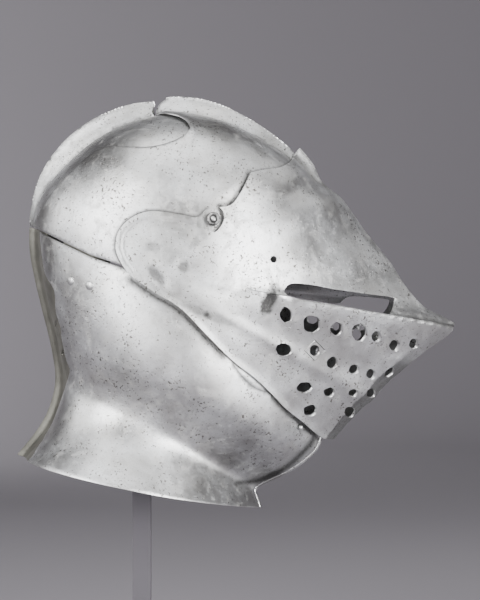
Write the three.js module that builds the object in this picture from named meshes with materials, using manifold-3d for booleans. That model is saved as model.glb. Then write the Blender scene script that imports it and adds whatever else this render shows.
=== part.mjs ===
// Steel close helmet of armet type, on a plain post stand. Millimetres, +Z up, the visor faces +X.
import * as THREE from 'three';
import { mergeVertices } from 'three/addons/utils/BufferGeometryUtils.js';
import Module from 'manifold-3d';

const wasm = await Module();
wasm.setup();

// Overall sizes of the helmet
const LENGTH = 350; // from the tip of the tail to the tip of the beak
const HEIGHT = 332; // from the lowest point of the collar to the crest of the front comb
const SKULL_WIDTH = 188; // outside of the skull at the ears
const CHEEK_STAND = 1; // how far each cheek plate stands out past the skull at the jaw
const VISOR_STAND = 9.5; // how far each side of the visor stands out past the skull at the ears
const REAR_COMB = 16; // height of the skull's comb at its highest
const FRONT_COMB = 13.5; // height of the reinforce's comb at its highest
const COMB_FOOT = 9; // half the width of a comb at its foot
const COMB_CREST = 1.2; // half the width of a comb along its crest
const NAPE_KEEL = 6; // height of the keel down the nape
const VISOR_RIDGE = 7; // height of the hollow ridge at the visor's top
const RIDGE_FOOT = 11.5; // half the width of that ridge at its foot
const SIGHT_LEDGE = 5; // how far the lower face stands out under the sights

// Sheets and clearances
const SKULL_WALL = 1.6;
const REINFORCE_WALL = 1.3;
const CHEEK_WALL = 1.4;
const VISOR_WALL = 1.6;
const STRAP_WALL = 1.6;
const SEAT_GAP = 0.4; // between two pieces that are seated on each other
const SEAM_GAP = 2.4; // between the reinforce's lower edge and the cheek plates
const CHIN_GAP = 1.6; // between the two cheek plates in front
const CHIN_SEAM = -3.2; // how far that gap lies from the median plane
const CHEEK_LAP = 6; // how far a cheek plate lies over the nape plate

// Pivots, rivets and catch
const PIVOT_BOSS = 6.2; // radius of the boss that the visor turns on
const PIVOT_PLAY = 0.5; // between the boss and the hole in the visor
const PIVOT_HEAD = 5.4;
const PIVOT_DOME = 2.2;
const PIVOT_STEM = 2.6;
const PIVOT_CLINCH = 5.6; // radius of the clinched end inside
const RIVET_HEAD = 3.1;
const RIVET_STEM = 1.5;
const RIVET_RISE = 1.1;
const RIVET_SEAT = 0.45; // height of a rivet's head above the plate's middle there
const STRAP_EDGE = 6; // from a rivet's middle to the strap's side
const CATCH_HEAD = 2.4;
const CATCH_RISE = 3.2;

// Visor cut-outs
const BREATH = 9; // reach of an ordinary breath hole, the measure of all the others
const PATCH_REACH = 8.6; // from the middle of the square plug to its corner
const PATCH_HOLE = 4.2;
const SIDE_HOLE = 2.7; // radius of the round hole above the sight
const NAPE_HOLE = [1.3, 3.2]; // half width and half height of an oval hole in the nape plate
const NAPE_TURN = -0.25; // and its slant in radians

// Stand
const STAND_CLEARANCE = 150; // from the floor to the collar's lowest point
const POST_WIDTH = 14.6;
const PAD_WIDTH = 70;
const PAD_DEPTH = 22;
const BASE_LENGTH = 240;
const BASE_WIDTH = 200;
const BASE_THICKNESS = 10;
const BASE_CORNER = 12;

// Widths outside, and the helmet's frame: the visor's pivot line as shares of LENGTH and HEIGHT
const CHEEK_WIDTH = SKULL_WIDTH + 2 * CHEEK_STAND;
const VISOR_WIDTH = SKULL_WIDTH + 2 * VISOR_STAND;
const PIVOT_X = -0.0483 * LENGTH;
const PIVOT_Z = STAND_CLEARANCE + 0.6913 * HEIGHT;
const POST_X = -0.215 * LENGTH;

const STEEL = { color: 0xb4b6b8, roughness: 0.3, metalness: 1 };
const DARK_STEEL = { color: 0x6d675f, roughness: 0.55, metalness: 1 };
const PAINT = { color: 0x5c5860, roughness: 0.6, metalness: 0.2 };

// Side outline of the skull's bowl without its combs. x and z are shares of LENGTH and HEIGHT from the pivot
// line, rear and front are the heights of the two combs there as shares of REAR_COMB and FRONT_COMB.
const BOWL = [
  // x, z, rear, front
  [0.226, 0.016, 0, 0],
  [0.204, 0.085, 0, 0.2],
  [0.166, 0.152, 0, 0.46],
  [0.125, 0.182, 0, 0.64],
  [0.084, 0.208, 0, 0.72],
  [0.037, 0.232, 0, 0.8],
  [-0.001, 0.246, 0, 0.92],
  [-0.053, 0.257, 0, 1],
  [-0.117, 0.258, 0, 1],
  [-0.136, 0.2562, 0, 1],
  [-0.139, 0.2556, 0.76, 1],
  [-0.181, 0.246, 0.88, 0.9],
  [-0.236, 0.222, 0.94, 0],
  [-0.28, 0.193, 1, 0],
  [-0.32, 0.158, 0.95, 0],
  [-0.358, 0.118, 0.76, 0],
  [-0.386, 0.079, 0.54, 0],
  [-0.406, 0.035, 0.32, 0],
  [-0.414, -0.013, 0.22, 0],
  [-0.412, -0.067, 0.18, 0],
  [-0.397, -0.126, 0.15, 0],
  [-0.295, -0.269, 0, 0],
  [-0.117, -0.345, 0, 0],
  [0.077, -0.315, 0, 0],
  [0.197, -0.209, 0, 0],
  [0.237, -0.074, 0, 0],
];
const BOWL_POLE = [-0.117, -0.04];
const BOWL_FULL = 2.4; // how full the bowl's cross-sections are
const BOWL_KEEL = 0.417;

// Side outline of the visor, from the brow down the ridge to the chin, and round behind where it is cut
// away. full and keel shape the cross-section: the higher keel is, the sharper the ridge. ridge and ledge
// are shares of VISOR_RIDGE and SIGHT_LEDGE.
const VISOR = [
  // x, z, full, keel, ridge, ledge
  [0.05, 0.272, 2.6, 0.44, 1, 0],
  [0.134, 0.218, 2.6, 0.43, 1, 0],
  [0.181, 0.165, 2.6, 0.44, 1, 0],
  [0.214, 0.131, 2.7, 0.49, 0.72, 0],
  [0.236, 0.102, 2.8, 0.55, 0.3, 0],
  [0.257, 0.086, 2.8, 0.62, 0.05, 0],
  [0.286, 0.063, 2.8, 0.7, 0, 0],
  [0.343, -0.019, 2.7, 0.82, 0, 0],
  [0.397, -0.089, 2.3, 0.96, 0, 0],
  [0.436, -0.151, 2.2, 1, 0, 0],
  [0.482, -0.204, 2.1, 1, 0, 0],
  [0.515, -0.222, 2.05, 1, 0, 0],
  [0.538, -0.235, 2, 1, 0, 0],
  [0.5483, -0.2428, 2, 1, 0, 0],
  [0.5478, -0.2448, 2, 1, 0, 1],
  [0.543, -0.26, 2, 1, 0, 1],
  [0.482, -0.308, 2.1, 1, 0, 0.7],
  [0.448, -0.337, 2.2, 1, 0, 0.35],
  [0.394, -0.386, 2.2, 1, 0, 0],
  [0.361, -0.426, 2.25, 0.98, 0, 0],
  [0.337, -0.445, 2.25, 0.97, 0, 0],
  [0.277, -0.514, 2.3, 0.95, 0, 0],
  [0.24, -0.56, 2.3, 0.92, 0, 0],
  [0.134, -0.661, 2.5, 0.8, 0, 0],
  [-0.037, -0.721, 2.7, 0.6, 0, 0],
  [-0.209, -0.691, 2.8, 0.5, 0, 0],
  [-0.352, -0.54, 2.8, 0.5, 0, 0],
  [-0.423, -0.299, 2.8, 0.46, 0, 0],
  [-0.432, -0.043, 2.8, 0.46, 0, 0],
  [-0.38, 0.137, 2.8, 0.46, 0, 0],
  [-0.252, 0.258, 2.7, 0.46, 0, 0],
  [-0.095, 0.285, 2.6, 0.46, 0.6, 0],
];
const VISOR_POLE = [-0.146, -0.1217];
const BEAK_ROW = 13; // the row of the beak's tip, where the ledge under the sights runs out

// Rows across the jaw, neck and collar, from the seam under the skull down to the collar's edge. Each row
// runs from a point at the nape to a point in front, is wide times CHEEK_WIDTH across, and rises by bow in
// the middle, a share of HEIGHT.
const JAW = [
  // rear x, rear z, front x, front z, wide, bow
  [-0.406, 0.017, 0.254, -0.089, 0.965, 0],
  [-0.407, -0.064, 0.277, -0.209, 0.99, 0],
  [-0.396, -0.137, 0.28, -0.336, 1.0, 0],
  [-0.381, -0.206, 0.266, -0.426, 0.985, 0],
  [-0.366, -0.269, 0.243, -0.531, 0.935, 0.01],
  [-0.356, -0.32, 0.214, -0.57, 0.87, 0.02],
  [-0.35, -0.362, 0.168, -0.604, 0.805, 0.028],
  [-0.35, -0.393, 0.111, -0.632, 0.765, 0.028],
  [-0.354, -0.42, 0.098, -0.643, 0.775, 0.024],
  [-0.367, -0.462, 0.1, -0.656, 0.84, 0.014],
  [-0.39, -0.504, 0.104, -0.67, 0.93, 0.006],
  [-0.434, -0.56, 0.108, -0.6843, 1.05, 0],
];
const JAW_MIDDLE = 0.4; // where along a row the plate is widest

// Outlines in side view, shares of LENGTH and HEIGHT from the pivot line
const SEAM = [[-0.5, 0.03], [-0.398, -0.015], [-0.27, -0.08], [-0.194, -0.107], [-0.12, -0.14]];
const SKULL_FACE = [
  [-0.05, -0.13], [-0.03, -0.06], [0.02, -0.02], [0.077, 0.035], [0.134, 0.066], [0.3, 0.075],
];
const REINFORCE_BACK = [
  [-0.408, -0.01], [-0.379, 0.037], [-0.348, 0.081], [-0.316, 0.115], [-0.278, 0.15], [-0.253, 0.169],
];
const OVAL = [
  [-0.221, 0.173], [-0.177, 0.169], [-0.139, 0.169], [-0.101, 0.178], [-0.07, 0.193], [-0.052, 0.209],
  [-0.057, 0.227], [-0.076, 0.243], [-0.104, 0.253], [-0.13, 0.265], [-0.125, 0.285], [-0.109, 0.298],
];
const VISOR_TOP = [
  [0.26, 0.25], [0.195, 0.182], [0.177, 0.148], [0.151, 0.126], [0.116, 0.118], [0.082, 0.109],
  [0.06, 0.062], [0.038, 0.032], [0.012, 0.026],
];
const LOBE = [
  [-0.014, 0.022], [-0.035, 0.003], [-0.068, 0.008], [-0.104, 0.014], [-0.137, 0.016], [-0.165, 0.008],
  [-0.19, -0.01], [-0.205, -0.031], [-0.21, -0.053], [-0.209, -0.076], [-0.192, -0.112], [-0.174, -0.133],
];
const VISOR_BOTTOM = [
  [-0.122, -0.171], [-0.072, -0.203], [-0.016, -0.263], [0.042, -0.325], [0.092, -0.367], [0.127, -0.403],
  [0.16, -0.44], [0.199, -0.474], [0.243, -0.513], [0.272, -0.52], [0.6, -0.5],
];
const CHEEK_BACK = [
  [-0.392, -0.026], [-0.384, -0.086], [-0.377, -0.124], [-0.354, -0.163], [-0.352, -0.213], [-0.341, -0.252],
  [-0.339, -0.277], [-0.329, -0.329], [-0.322, -0.35], [-0.333, -0.386], [-0.344, -0.417], [-0.366, -0.475],
  [-0.384, -0.51], [-0.411, -0.558],
];
const CHEEK_FACE = [[0.5, -0.53], [0.23, -0.5], [0.13, -0.36], [0.03, -0.25], [-0.06, -0.17]];

// Sight: the slot lies on the ledge, which runs from the visor's pole to the beak's tip
const SIGHT_BACK = 0.166; // the ends of the slot, shares of LENGTH
const SIGHT_FRONT = 0.405;
const SIGHT_TALL = [0.028, 0.027]; // its height at the back and in front, shares of HEIGHT

// Breaths: place as shares of LENGTH and HEIGHT, width and height as shares of BREATH
const BREATHS = [
  // x, z, wide, tall
  [0.158, -0.219, 0.85, 1.0],
  [0.215, -0.24, 1.15, 1.2],
  [0.271, -0.252, 0.85, 0.85],
  [0.322, -0.262, 1.1, 1.15],
  [0.362, -0.271, 0.65, 0.75],
  [0.406, -0.293, 0.8, 0.75],
  [0.451, -0.289, 0.7, 0.7],
  [0.153, -0.3, 1.1, 0.9],
  [0.263, -0.333, 0.8, 0.8],
  [0.313, -0.349, 0.78, 0.68],
  [0.353, -0.361, 0.68, 0.75],
  [0.397, -0.358, 0.8, 0.55],
  [0.201, -0.39, 1.1, 0.75],
  [0.258, -0.403, 0.82, 0.65],
  [0.313, -0.406, 0.68, 0.55],
  [0.355, -0.408, 0.65, 0.7],
  [0.215, -0.446, 0.92, 0.8],
  [0.307, -0.453, 0.75, 0.8],
];
const PATCH = [0.223, -0.303];
const ROUND_HOLE = [0.131, -0.092];
const RIVETS = [[-0.314, -0.141], [-0.27, -0.152]];
const STRAP_TOP = -0.02; // the heights of a strap's ends
const STRAP_LOW = -0.175;
const CATCH = [0.191, -0.486];
const NAPE_HOLES = [[-0.352, -0.241], [-0.335, -0.308]];

// Cross-sections
const NAPE_FACETS = 4; // facets of a jaw row from the nape to its widest place
const NAPE_CROWDING = 1.6; // how much closer together they lie at the nape
const CHIN_FACETS = 5; // and from the widest place to the chin
const NAPE_FULL = 2.2; // how full a jaw row is towards the nape
const NAPE_ROUND = 0.46;
const CHIN_FULL = 2.4; // and towards the chin
const CHIN_SPREAD = 1.3; // how much more a wall takes up at the chin's keel
const CHIN_EDGE = 0.4;
const KEEL_SHOULDER = 0.35; // height of the nape keel's shoulder, a share of its crest
const SECTION_STEPS = 6; // facets of a cross-section from the pole to the comb's foot
const COMB_SHOULDER = 0.45; // height on a comb's flank where its facets meet, a share of its height
const LEDGE_STARTS = 0.3; // where the ledge begins to rise, a share of the reach
const LEDGE_RISE = 0.12; // and over how much of it
const RIDGE_TRIM = 0.6; // how much lower the visor's ridge is inside, a share of the wall
const INNER_CREST = 0.3; // half the width of a comb's crest on a plate's inside

const clamp = (v, lo, hi) => Math.min(hi, Math.max(lo, v));
const mix = (a, b, f) => a + (b - a) * f;
const xOf = (share) => PIVOT_X + LENGTH * share;
const zOf = (share) => PIVOT_Z + HEIGHT * share;

// Closed solid from a list of vertices and triangles
function solidOf(vertices, triangles) {
  return new wasm.Manifold(new wasm.Mesh({
    numProp: 3,
    vertProperties: new Float32Array(vertices.flat()),
    triVerts: new Uint32Array(triangles.flat()),
  }));
}

// Closed solid from a three.js geometry
function solidOfGeometry(geometry) {
  geometry.deleteAttribute('normal');
  geometry.deleteAttribute('uv');
  const merged = mergeVertices(geometry, 1e-4);
  return new wasm.Manifold(new wasm.Mesh({
    numProp: 3,
    vertProperties: new Float32Array(merged.attributes.position.array),
    triVerts: new Uint32Array(merged.index.array),
  }));
}

// Skin over a grid of points: lines of equal length, closed at both ends by one point or a flat fan
function skin(lines, closed, startPoint, endPoint) {
  const vertices = lines.flat();
  const across = lines[0].length;
  const count = lines.length;
  const at = (i, j) => (i % count) * across + j;
  const triangles = [];
  for (let i = 0; i < (closed ? count : count - 1); i++) {
    for (let j = 0; j < across - 1; j++) {
      triangles.push([at(i, j), at(i + 1, j + 1), at(i + 1, j)]);
      triangles.push([at(i, j), at(i, j + 1), at(i + 1, j + 1)]);
    }
    triangles.push([vertices.length, at(i, 0), at(i + 1, 0)]);
    triangles.push([vertices.length + 1, at(i + 1, across - 1), at(i, across - 1)]);
  }
  return solidOf([...vertices, startPoint, endPoint], triangles);
}

// One cross-section of a bulging form, from its pole on the right side over the median line to the left
// pole. reach is the distance from pole to outline, side the half width, comb the height of a comb on the
// outline, foot and crest its half widths. ledge lifts the form between LEDGE_STARTS and the outline.
function crossSection({ reach, side, full, keel, comb, foot, crest, ledge }) {
  const footAt = Math.pow(1 - Math.pow(foot / side, 1 / keel), 1 / full);
  const half = [];
  for (let i = 1; i <= SECTION_STEPS; i++) {
    const t = footAt * Math.sin((i / SECTION_STEPS) * Math.PI / 2);
    const lift = ledge * clamp((t - LEDGE_STARTS) / LEDGE_RISE, 0, 1) * clamp((1 - t) / LEDGE_RISE, 0, 1);
    half.push([reach * t, side * Math.pow(1 - Math.pow(t, full), keel) + lift]);
  }
  const bend = 1 + clamp(comb / foot, 0, 1);
  for (const f of [COMB_SHOULDER, 1]) {
    half.push([mix(reach * footAt, reach + comb, f), crest + (foot - crest) * Math.pow(1 - f, bend)]);
  }
  return [...half.map(([r, y]) => [r, -y]), ...half.reverse().map(([r, y]) => [r, y])];
}

// Extra radial inset that keeps a wall's thickness at a sharp keel
function keelInset(wall, reach, side, full, keel) {
  const slope = full * keel * side / reach;
  const sharp = clamp((keel - 0.5) / 0.5, 0, 1);
  return wall * mix(1, Math.sqrt(1 + 1 / (slope * slope)), sharp);
}

// Bulging solid round a pole line: every row of the outline gives one cross-section
function bulge(table, pole, shape) {
  const origin = [xOf(pole[0]), zOf(pole[1])];
  const lines = table.map((row) => {
    const ray = [xOf(row[0]) - origin[0], zOf(row[1]) - origin[1]];
    const reach = Math.hypot(...ray);
    const section = crossSection(shape(row, reach));
    return section.map(([r, y]) => [origin[0] + (ray[0] * r) / reach, y, origin[1] + (ray[1] * r) / reach]);
  });
  const side = Math.max(...lines.flat().map((p) => p[1]));
  return skin(lines, true, [origin[0], -side, origin[1]], [origin[0], side, origin[1]]);
}

// The skull's form grown by offset, with one of its two combs
function bowl(offset, combColumn, combHeight, combTrim) {
  return bulge(BOWL, BOWL_POLE, (row, reach) => ({
    reach: reach + offset,
    side: SKULL_WIDTH / 2 + offset,
    full: BOWL_FULL,
    keel: BOWL_KEEL,
    comb: Math.max(0, row[combColumn] * combHeight - combTrim),
    foot: COMB_FOOT - combTrim / 2,
    crest: combTrim > 0 ? INNER_CREST : COMB_CREST,
    ledge: 0,
  }));
}

// The visor's form: inset 0 is its outside
function visorForm(inset) {
  const side = VISOR_WIDTH / 2;
  return bulge([...VISOR].reverse(), VISOR_POLE, ([, , full, keel, ridge, ledge], reach) => ({
    reach: reach - keelInset(inset, reach, side, full, keel),
    side: side - inset,
    full,
    keel,
    comb: Math.max(0, ridge * VISOR_RIDGE - inset * RIDGE_TRIM),
    foot: RIDGE_FOOT - inset,
    crest: inset > 0 ? INNER_CREST : COMB_CREST,
    ledge: ledge * SIGHT_LEDGE,
  }));
}

// A row across the jaw as a closed ring, grown by offset, with the keel at the nape
function jawRing([ax, az, bx, bz, wide, bow], offset, keel) {
  const a = [xOf(ax), zOf(az)];
  const b = [xOf(bx), zOf(bz)];
  const length = Math.hypot(b[0] - a[0], b[1] - a[1]);
  const along = [(b[0] - a[0]) / length, (b[1] - a[1]) / length];
  const side = (wide * CHEEK_WIDTH) / 2 + offset;
  const middle = length * JAW_MIDDLE;
  const front = length - middle + offset * CHIN_SPREAD;
  const at = (s, y) => {
    const share = clamp(s / length, 0, 1);
    return [a[0] + along[0] * s, y, a[1] + along[1] * s + bow * HEIGHT * 4 * share * (1 - share)];
  };
  const half = [at(-offset - keel, -COMB_CREST), at(-offset - keel * KEEL_SHOULDER, -COMB_FOOT / 2)];
  for (let i = 1; i <= NAPE_FACETS; i++) {
    const t = Math.cos((Math.PI / 2) * Math.pow(i / (NAPE_FACETS + 1), NAPE_CROWDING));
    half.push(at(middle - (middle + offset) * t, -side * Math.pow(1 - Math.pow(t, NAPE_FULL), NAPE_ROUND)));
  }
  for (let i = 0; i < CHIN_FACETS; i++) {
    const t = Math.sin((Math.PI / 2) * (i / CHIN_FACETS));
    half.push(at(middle + front * t, -side * (1 - Math.pow(t, CHIN_FULL))));
  }
  half.push(at(middle + front, -CHIN_EDGE));
  return [...half, ...half.map(([x, y, z]) => [x, -y, z]).reverse()];
}

// The form of jaw, neck and collar grown by offset; past lengthens it at both ends
function jaw(offset, keel, past) {
  const rings = JAW.map((row) => jawRing(row, offset, keel));
  if (past > 0) {
    rings.unshift(rings[0].map(([x, y, z]) => [x, y, z + past]));
    rings.push(rings[rings.length - 1].map(([x, y, z]) => [x, y, z - past]));
  }
  const count = rings[0].length;
  const vertices = rings.flat();
  const triangles = [];
  const middleOf = (ring) => [0, 1, 2].map((c) => ring.reduce((sum, p) => sum + p[c], 0) / count);
  for (let i = 0; i < rings.length; i++) {
    for (let j = 0; j < count; j++) {
      const [p, q] = [i * count + j, i * count + ((j + 1) % count)];
      if (i < rings.length - 1) triangles.push([q, p, p + count], [q, p + count, q + count]);
      if (i === 0) triangles.push([vertices.length, p, q]);
      if (i === rings.length - 1) triangles.push([vertices.length + 1, q, p]);
    }
  }
  return solidOf([...vertices, middleOf(rings[0]), middleOf(rings[rings.length - 1])], triangles);
}

// Prism along Y from a side outline in shares
function prism(outline, from = -WIDE, to = WIDE) {
  return prismOf(outline.map(([x, z]) => [xOf(x), zOf(z)]), from, to);
}

// Prism along Y from a side outline in millimetres
function prismOf(points, from, to) {
  const shape = new THREE.Shape(points.map(([x, z]) => new THREE.Vector2(x, z)));
  const geometry = new THREE.ExtrudeGeometry(shape, { depth: to - from, bevelEnabled: false });
  geometry.rotateX(Math.PI / 2);
  geometry.translate(0, to, 0);
  return solidOfGeometry(geometry);
}

// Ellipse in side view round a place in shares, turned by an angle
function ellipse([x, z], halfWidth, halfHeight, sides, turn = 0) {
  const [cos, sin] = [Math.cos(turn), Math.sin(turn)];
  return Array.from({ length: sides }, (_, i) => {
    const angle = ((i + 0.5) * 2 * Math.PI) / sides;
    const [p, q] = [halfWidth * Math.cos(angle), halfHeight * Math.sin(angle)];
    return [xOf(x) + p * cos - q * sin, zOf(z) + p * sin + q * cos];
  });
}

// Hole right through along Y, round or oval, at a place in shares
function hole(place, halfWidth, halfHeight, sides, turn = 0) {
  return prismOf(ellipse(place, halfWidth, halfHeight, sides, turn), -WIDE, WIDE);
}

// Rectangle in side view, in millimetres
const rectangle = (x0, x1, z0, z1) => [[x0, z0], [x1, z0], [x1, z1], [x0, z1]];

// How far from the median plane a form's outside lies, over a small square round a place in millimetres
function sideAt(form, x, z, probe = 0.2) {
  return prismOf(rectangle(x - probe, x + probe, z - probe, z + probe), -WIDE, WIDE)
    .intersect(form).boundingBox().max[1];
}

// A seat on a form's outside at a place in millimetres, on one side: the point and the direction outwards
function seatOn(form, x, z, side) {
  const step = 3;
  const y = sideAt(form, x, z);
  const acrossX = (sideAt(form, x + step, z) - sideAt(form, x - step, z)) / (2 * step);
  const acrossZ = (sideAt(form, x, z + step) - sideAt(form, x, z - step)) / (2 * step);
  return {
    point: new THREE.Vector3(x, side * y, z),
    out: new THREE.Vector3(-acrossX, side, -acrossZ).normalize(),
  };
}

// Turned solid on a seat: the profile's rows are [radius, height above the seat], from the lowest point up
function turned(profile, seat, sides = 14) {
  const points = profile.map(([radius, height]) => new THREE.Vector2(radius, height));
  const geometry = new THREE.LatheGeometry(points, sides);
  geometry.applyQuaternion(new THREE.Quaternion().setFromUnitVectors(new THREE.Vector3(0, 1, 0), seat.out));
  geometry.translate(seat.point.x, seat.point.y, seat.point.z);
  return solidOfGeometry(geometry);
}

// Plain round bar on a seat, between two heights
function bar(radius, low, high, seat, sides) {
  return turned([[0, low], [radius, low], [radius, high], [0, high]], seat, sides);
}

const OPEN_END = 8; // how far a hollow runs past an open end before it is cut
const WIDE = 2 * Math.max(SKULL_WIDTH, CHEEK_WIDTH, VISOR_WIDTH);
const REAR = 2; // columns of BOWL with the height of each comb
const FRONT = 3;
const RIGHT = -1;
const LEFT = 1;
const SIDES = [[RIGHT, 'right'], [LEFT, 'left']];

const group = new THREE.Group();

// Adds a finished solid to the model as a mesh of its own
function addPiece(name, solid, look) {
  const { vertProperties, triVerts } = solid.getMesh();
  const geometry = new THREE.BufferGeometry();
  geometry.setAttribute('position', new THREE.BufferAttribute(vertProperties, 3));
  geometry.setIndex(new THREE.BufferAttribute(triVerts, 1));
  const mesh = new THREE.Mesh(geometry, new THREE.MeshStandardMaterial(look));
  mesh.name = name;
  group.add(mesh);
}

// Skull
const skullInside = bowl(-SKULL_WALL, REAR, REAR_COMB, SKULL_WALL * 2);
const skullOutline = [...SEAM, ...SKULL_FACE, [0.4, 0.5], [-0.5, 0.5]];
const stemHole = hole([0, 0], PIVOT_STEM + SEAT_GAP, PIVOT_STEM + SEAT_GAP, 16);
const skull = bowl(0, REAR, REAR_COMB, 0).subtract(skullInside).intersect(prism(skullOutline));
addPiece('skull', skull.subtract(stemHole), STEEL);

// Reinforce over the skull's front and sides
const reinforceOutside = bowl(SEAT_GAP + REINFORCE_WALL, FRONT, FRONT_COMB, 0);
const reinforceInside = bowl(SEAT_GAP, FRONT, FRONT_COMB, REINFORCE_WALL * 2);
const reinforceOutline = [
  ...REINFORCE_BACK, ...OVAL, [-0.098, 0.36], [0.4, 0.36],
  ...[...SKULL_FACE].reverse(), ...[...SEAM].reverse().slice(0, -1),
];
const reinforce = reinforceOutside.subtract(reinforceInside).intersect(prism(reinforceOutline));
addPiece('skull_reinforce', reinforce.subtract(stemHole), STEEL);

// Cheek plates and nape plate
const cheekOutside = jaw(0, 0, 0);
const cheekInside = jaw(-CHEEK_WALL, 0, OPEN_END);
const cheekShell = cheekOutside.subtract(cheekInside);
const seamDrop = SEAM_GAP / HEIGHT;
const cheekTop = SEAM.map(([x, z]) => [x, z - seamDrop]);
const cheekOutline = [
  ...cheekTop.slice(2), ...[...CHEEK_FACE].reverse(), [0.5, -0.8], [-0.5, -0.8],
  ...[...CHEEK_BACK].reverse(),
];
const rivetReach = CHEEK_WALL + STRAP_WALL + SEAT_GAP * 3;
const strapOutline = rectangle(
  xOf(RIVETS[0][0]) - STRAP_EDGE, xOf(RIVETS[1][0]) + STRAP_EDGE, zOf(STRAP_LOW), zOf(STRAP_TOP),
);
const belowSeam = prism([...cheekTop, [0, -0.8], [-0.5, -0.8]]);
function strapForm(depth, past) {
  return jaw(-CHEEK_WALL - depth, 0, past).intersect(bowl(-SKULL_WALL - depth, REAR, 0, 0).add(belowSeam));
}
const strapShell = strapForm(SEAT_GAP, 0).subtract(strapForm(SEAT_GAP + STRAP_WALL, OPEN_END));
for (const [side, word] of SIDES) {
  const chin = side === RIGHT ? [-WIDE, CHIN_SEAM - CHIN_GAP / 2] : [CHIN_SEAM + CHIN_GAP / 2, WIDE];
  const half = side === RIGHT ? [-WIDE, 0] : [0, WIDE];
  let cheek = cheekShell.intersect(prism(cheekOutline, ...chin));
  let strap = strapShell.intersect(prismOf(strapOutline, ...half));
  RIVETS.forEach(([x, z], i) => {
    const seat = seatOn(cheekOutside, xOf(x), zOf(z), side);
    const bore = bar(RIVET_STEM + SEAT_GAP, -rivetReach * 2, RIVET_RISE, seat, 10);
    cheek = cheek.subtract(bore);
    strap = strap.subtract(bore);
    addPiece(`cheek_rivet_${word}_${i + 1}`, turned([
      [0, -rivetReach - RIVET_RISE], [RIVET_HEAD, -rivetReach - RIVET_RISE], [RIVET_HEAD, -rivetReach],
      [RIVET_STEM, -rivetReach], [RIVET_STEM, RIVET_SEAT], [RIVET_HEAD, RIVET_SEAT],
      [RIVET_HEAD * 0.8, RIVET_SEAT + RIVET_RISE * 0.65], [0, RIVET_SEAT + RIVET_RISE],
    ], seat, 8), STEEL);
  });
  if (side === RIGHT) {
    const seat = seatOn(cheekOutside, xOf(CATCH[0]), zOf(CATCH[1]), side);
    const catchReach = CHEEK_WALL + SEAT_GAP * 2;
    cheek = cheek.subtract(bar(RIVET_STEM + SEAT_GAP, -CHEEK_WALL * 3, CATCH_RISE, seat, 10));
    addPiece('visor_catch', turned([
      [0, -catchReach - RIVET_RISE], [CATCH_HEAD, -catchReach - RIVET_RISE], [CATCH_HEAD, -catchReach],
      [RIVET_STEM, -catchReach], [RIVET_STEM, RIVET_SEAT], [CATCH_HEAD, RIVET_SEAT],
      [CATCH_HEAD, CATCH_RISE * 0.6], [CATCH_HEAD * 0.6, CATCH_RISE], [0, CATCH_RISE * 1.1],
    ], seat, 10), STEEL);
  }
  addPiece(`cheek_plate_${word}`, cheek, STEEL);
  addPiece(`cheek_strap_${word}`, strap, DARK_STEEL);
}

// Nape plate, behind and partly under the cheek plates
const napeInset = CHEEK_WALL + SEAT_GAP;
const napeFront = CHEEK_BACK.map(([x, z]) => [x + CHEEK_LAP / LENGTH, z]);
const napeOutline = [...napeFront, [-0.6, -0.62], [-0.6, 0.02 - seamDrop], [-0.42, -0.006 - seamDrop]];
let nape = jaw(-napeInset, NAPE_KEEL + napeInset, 0)
  .subtract(jaw(-napeInset - CHEEK_WALL, NAPE_KEEL + napeInset - CHEEK_WALL, OPEN_END))
  .intersect(prism(napeOutline));
for (const place of NAPE_HOLES) nape = nape.subtract(hole(place, ...NAPE_HOLE, 8, NAPE_TURN));
addPiece('nape_plate', nape, DARK_STEEL);

// Visor
const visorOutside = visorForm(0);
const visorShell = visorOutside.subtract(visorForm(VISOR_WALL));
const visorOutline = [...VISOR_TOP, ...LOBE, ...VISOR_BOTTOM, [0.7, -0.3], [0.7, 0.25]];
const ledgeSlope = (VISOR[BEAK_ROW][1] - VISOR_POLE[1]) / (VISOR[BEAK_ROW][0] - VISOR_POLE[0]);
const ledgeAt = (x) => VISOR_POLE[1] + ledgeSlope * (x - VISOR_POLE[0]);
const sight = prism([
  [SIGHT_BACK, ledgeAt(SIGHT_BACK)], [SIGHT_FRONT, ledgeAt(SIGHT_FRONT)],
  [SIGHT_FRONT, ledgeAt(SIGHT_FRONT) + SIGHT_TALL[1]], [SIGHT_BACK, ledgeAt(SIGHT_BACK) + SIGHT_TALL[0]],
]);
let visor = visorShell.intersect(prism(visorOutline)).subtract(sight);
for (const [x, z, wide, tall] of BREATHS) {
  visor = visor.subtract(hole([x, z], (wide * BREATH) / 2, (tall * BREATH) / 2, 6));
}
visor = visor.subtract(hole(ROUND_HOLE, SIDE_HOLE, SIDE_HOLE, 10));
visor = visor.subtract(hole([0, 0], PIVOT_BOSS + PIVOT_PLAY, PIVOT_BOSS + PIVOT_PLAY, 20));
const diamond = (reach) => prismOf(
  [[reach, 0], [0, reach], [-reach, 0], [0, -reach]].map(([x, z]) => [xOf(PATCH[0]) + x, zOf(PATCH[1]) + z]),
  -WIDE, 0,
);
const patchHole = hole(PATCH, PATCH_HOLE, PATCH_HOLE, 10);
const patch = visorShell.intersect(diamond(PATCH_REACH - SEAT_GAP * Math.SQRT2));
addPiece('visor', visor.subtract(diamond(PATCH_REACH)).subtract(patchHole), STEEL);
addPiece('visor_patch_right', patch.subtract(patchHole), STEEL);

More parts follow.
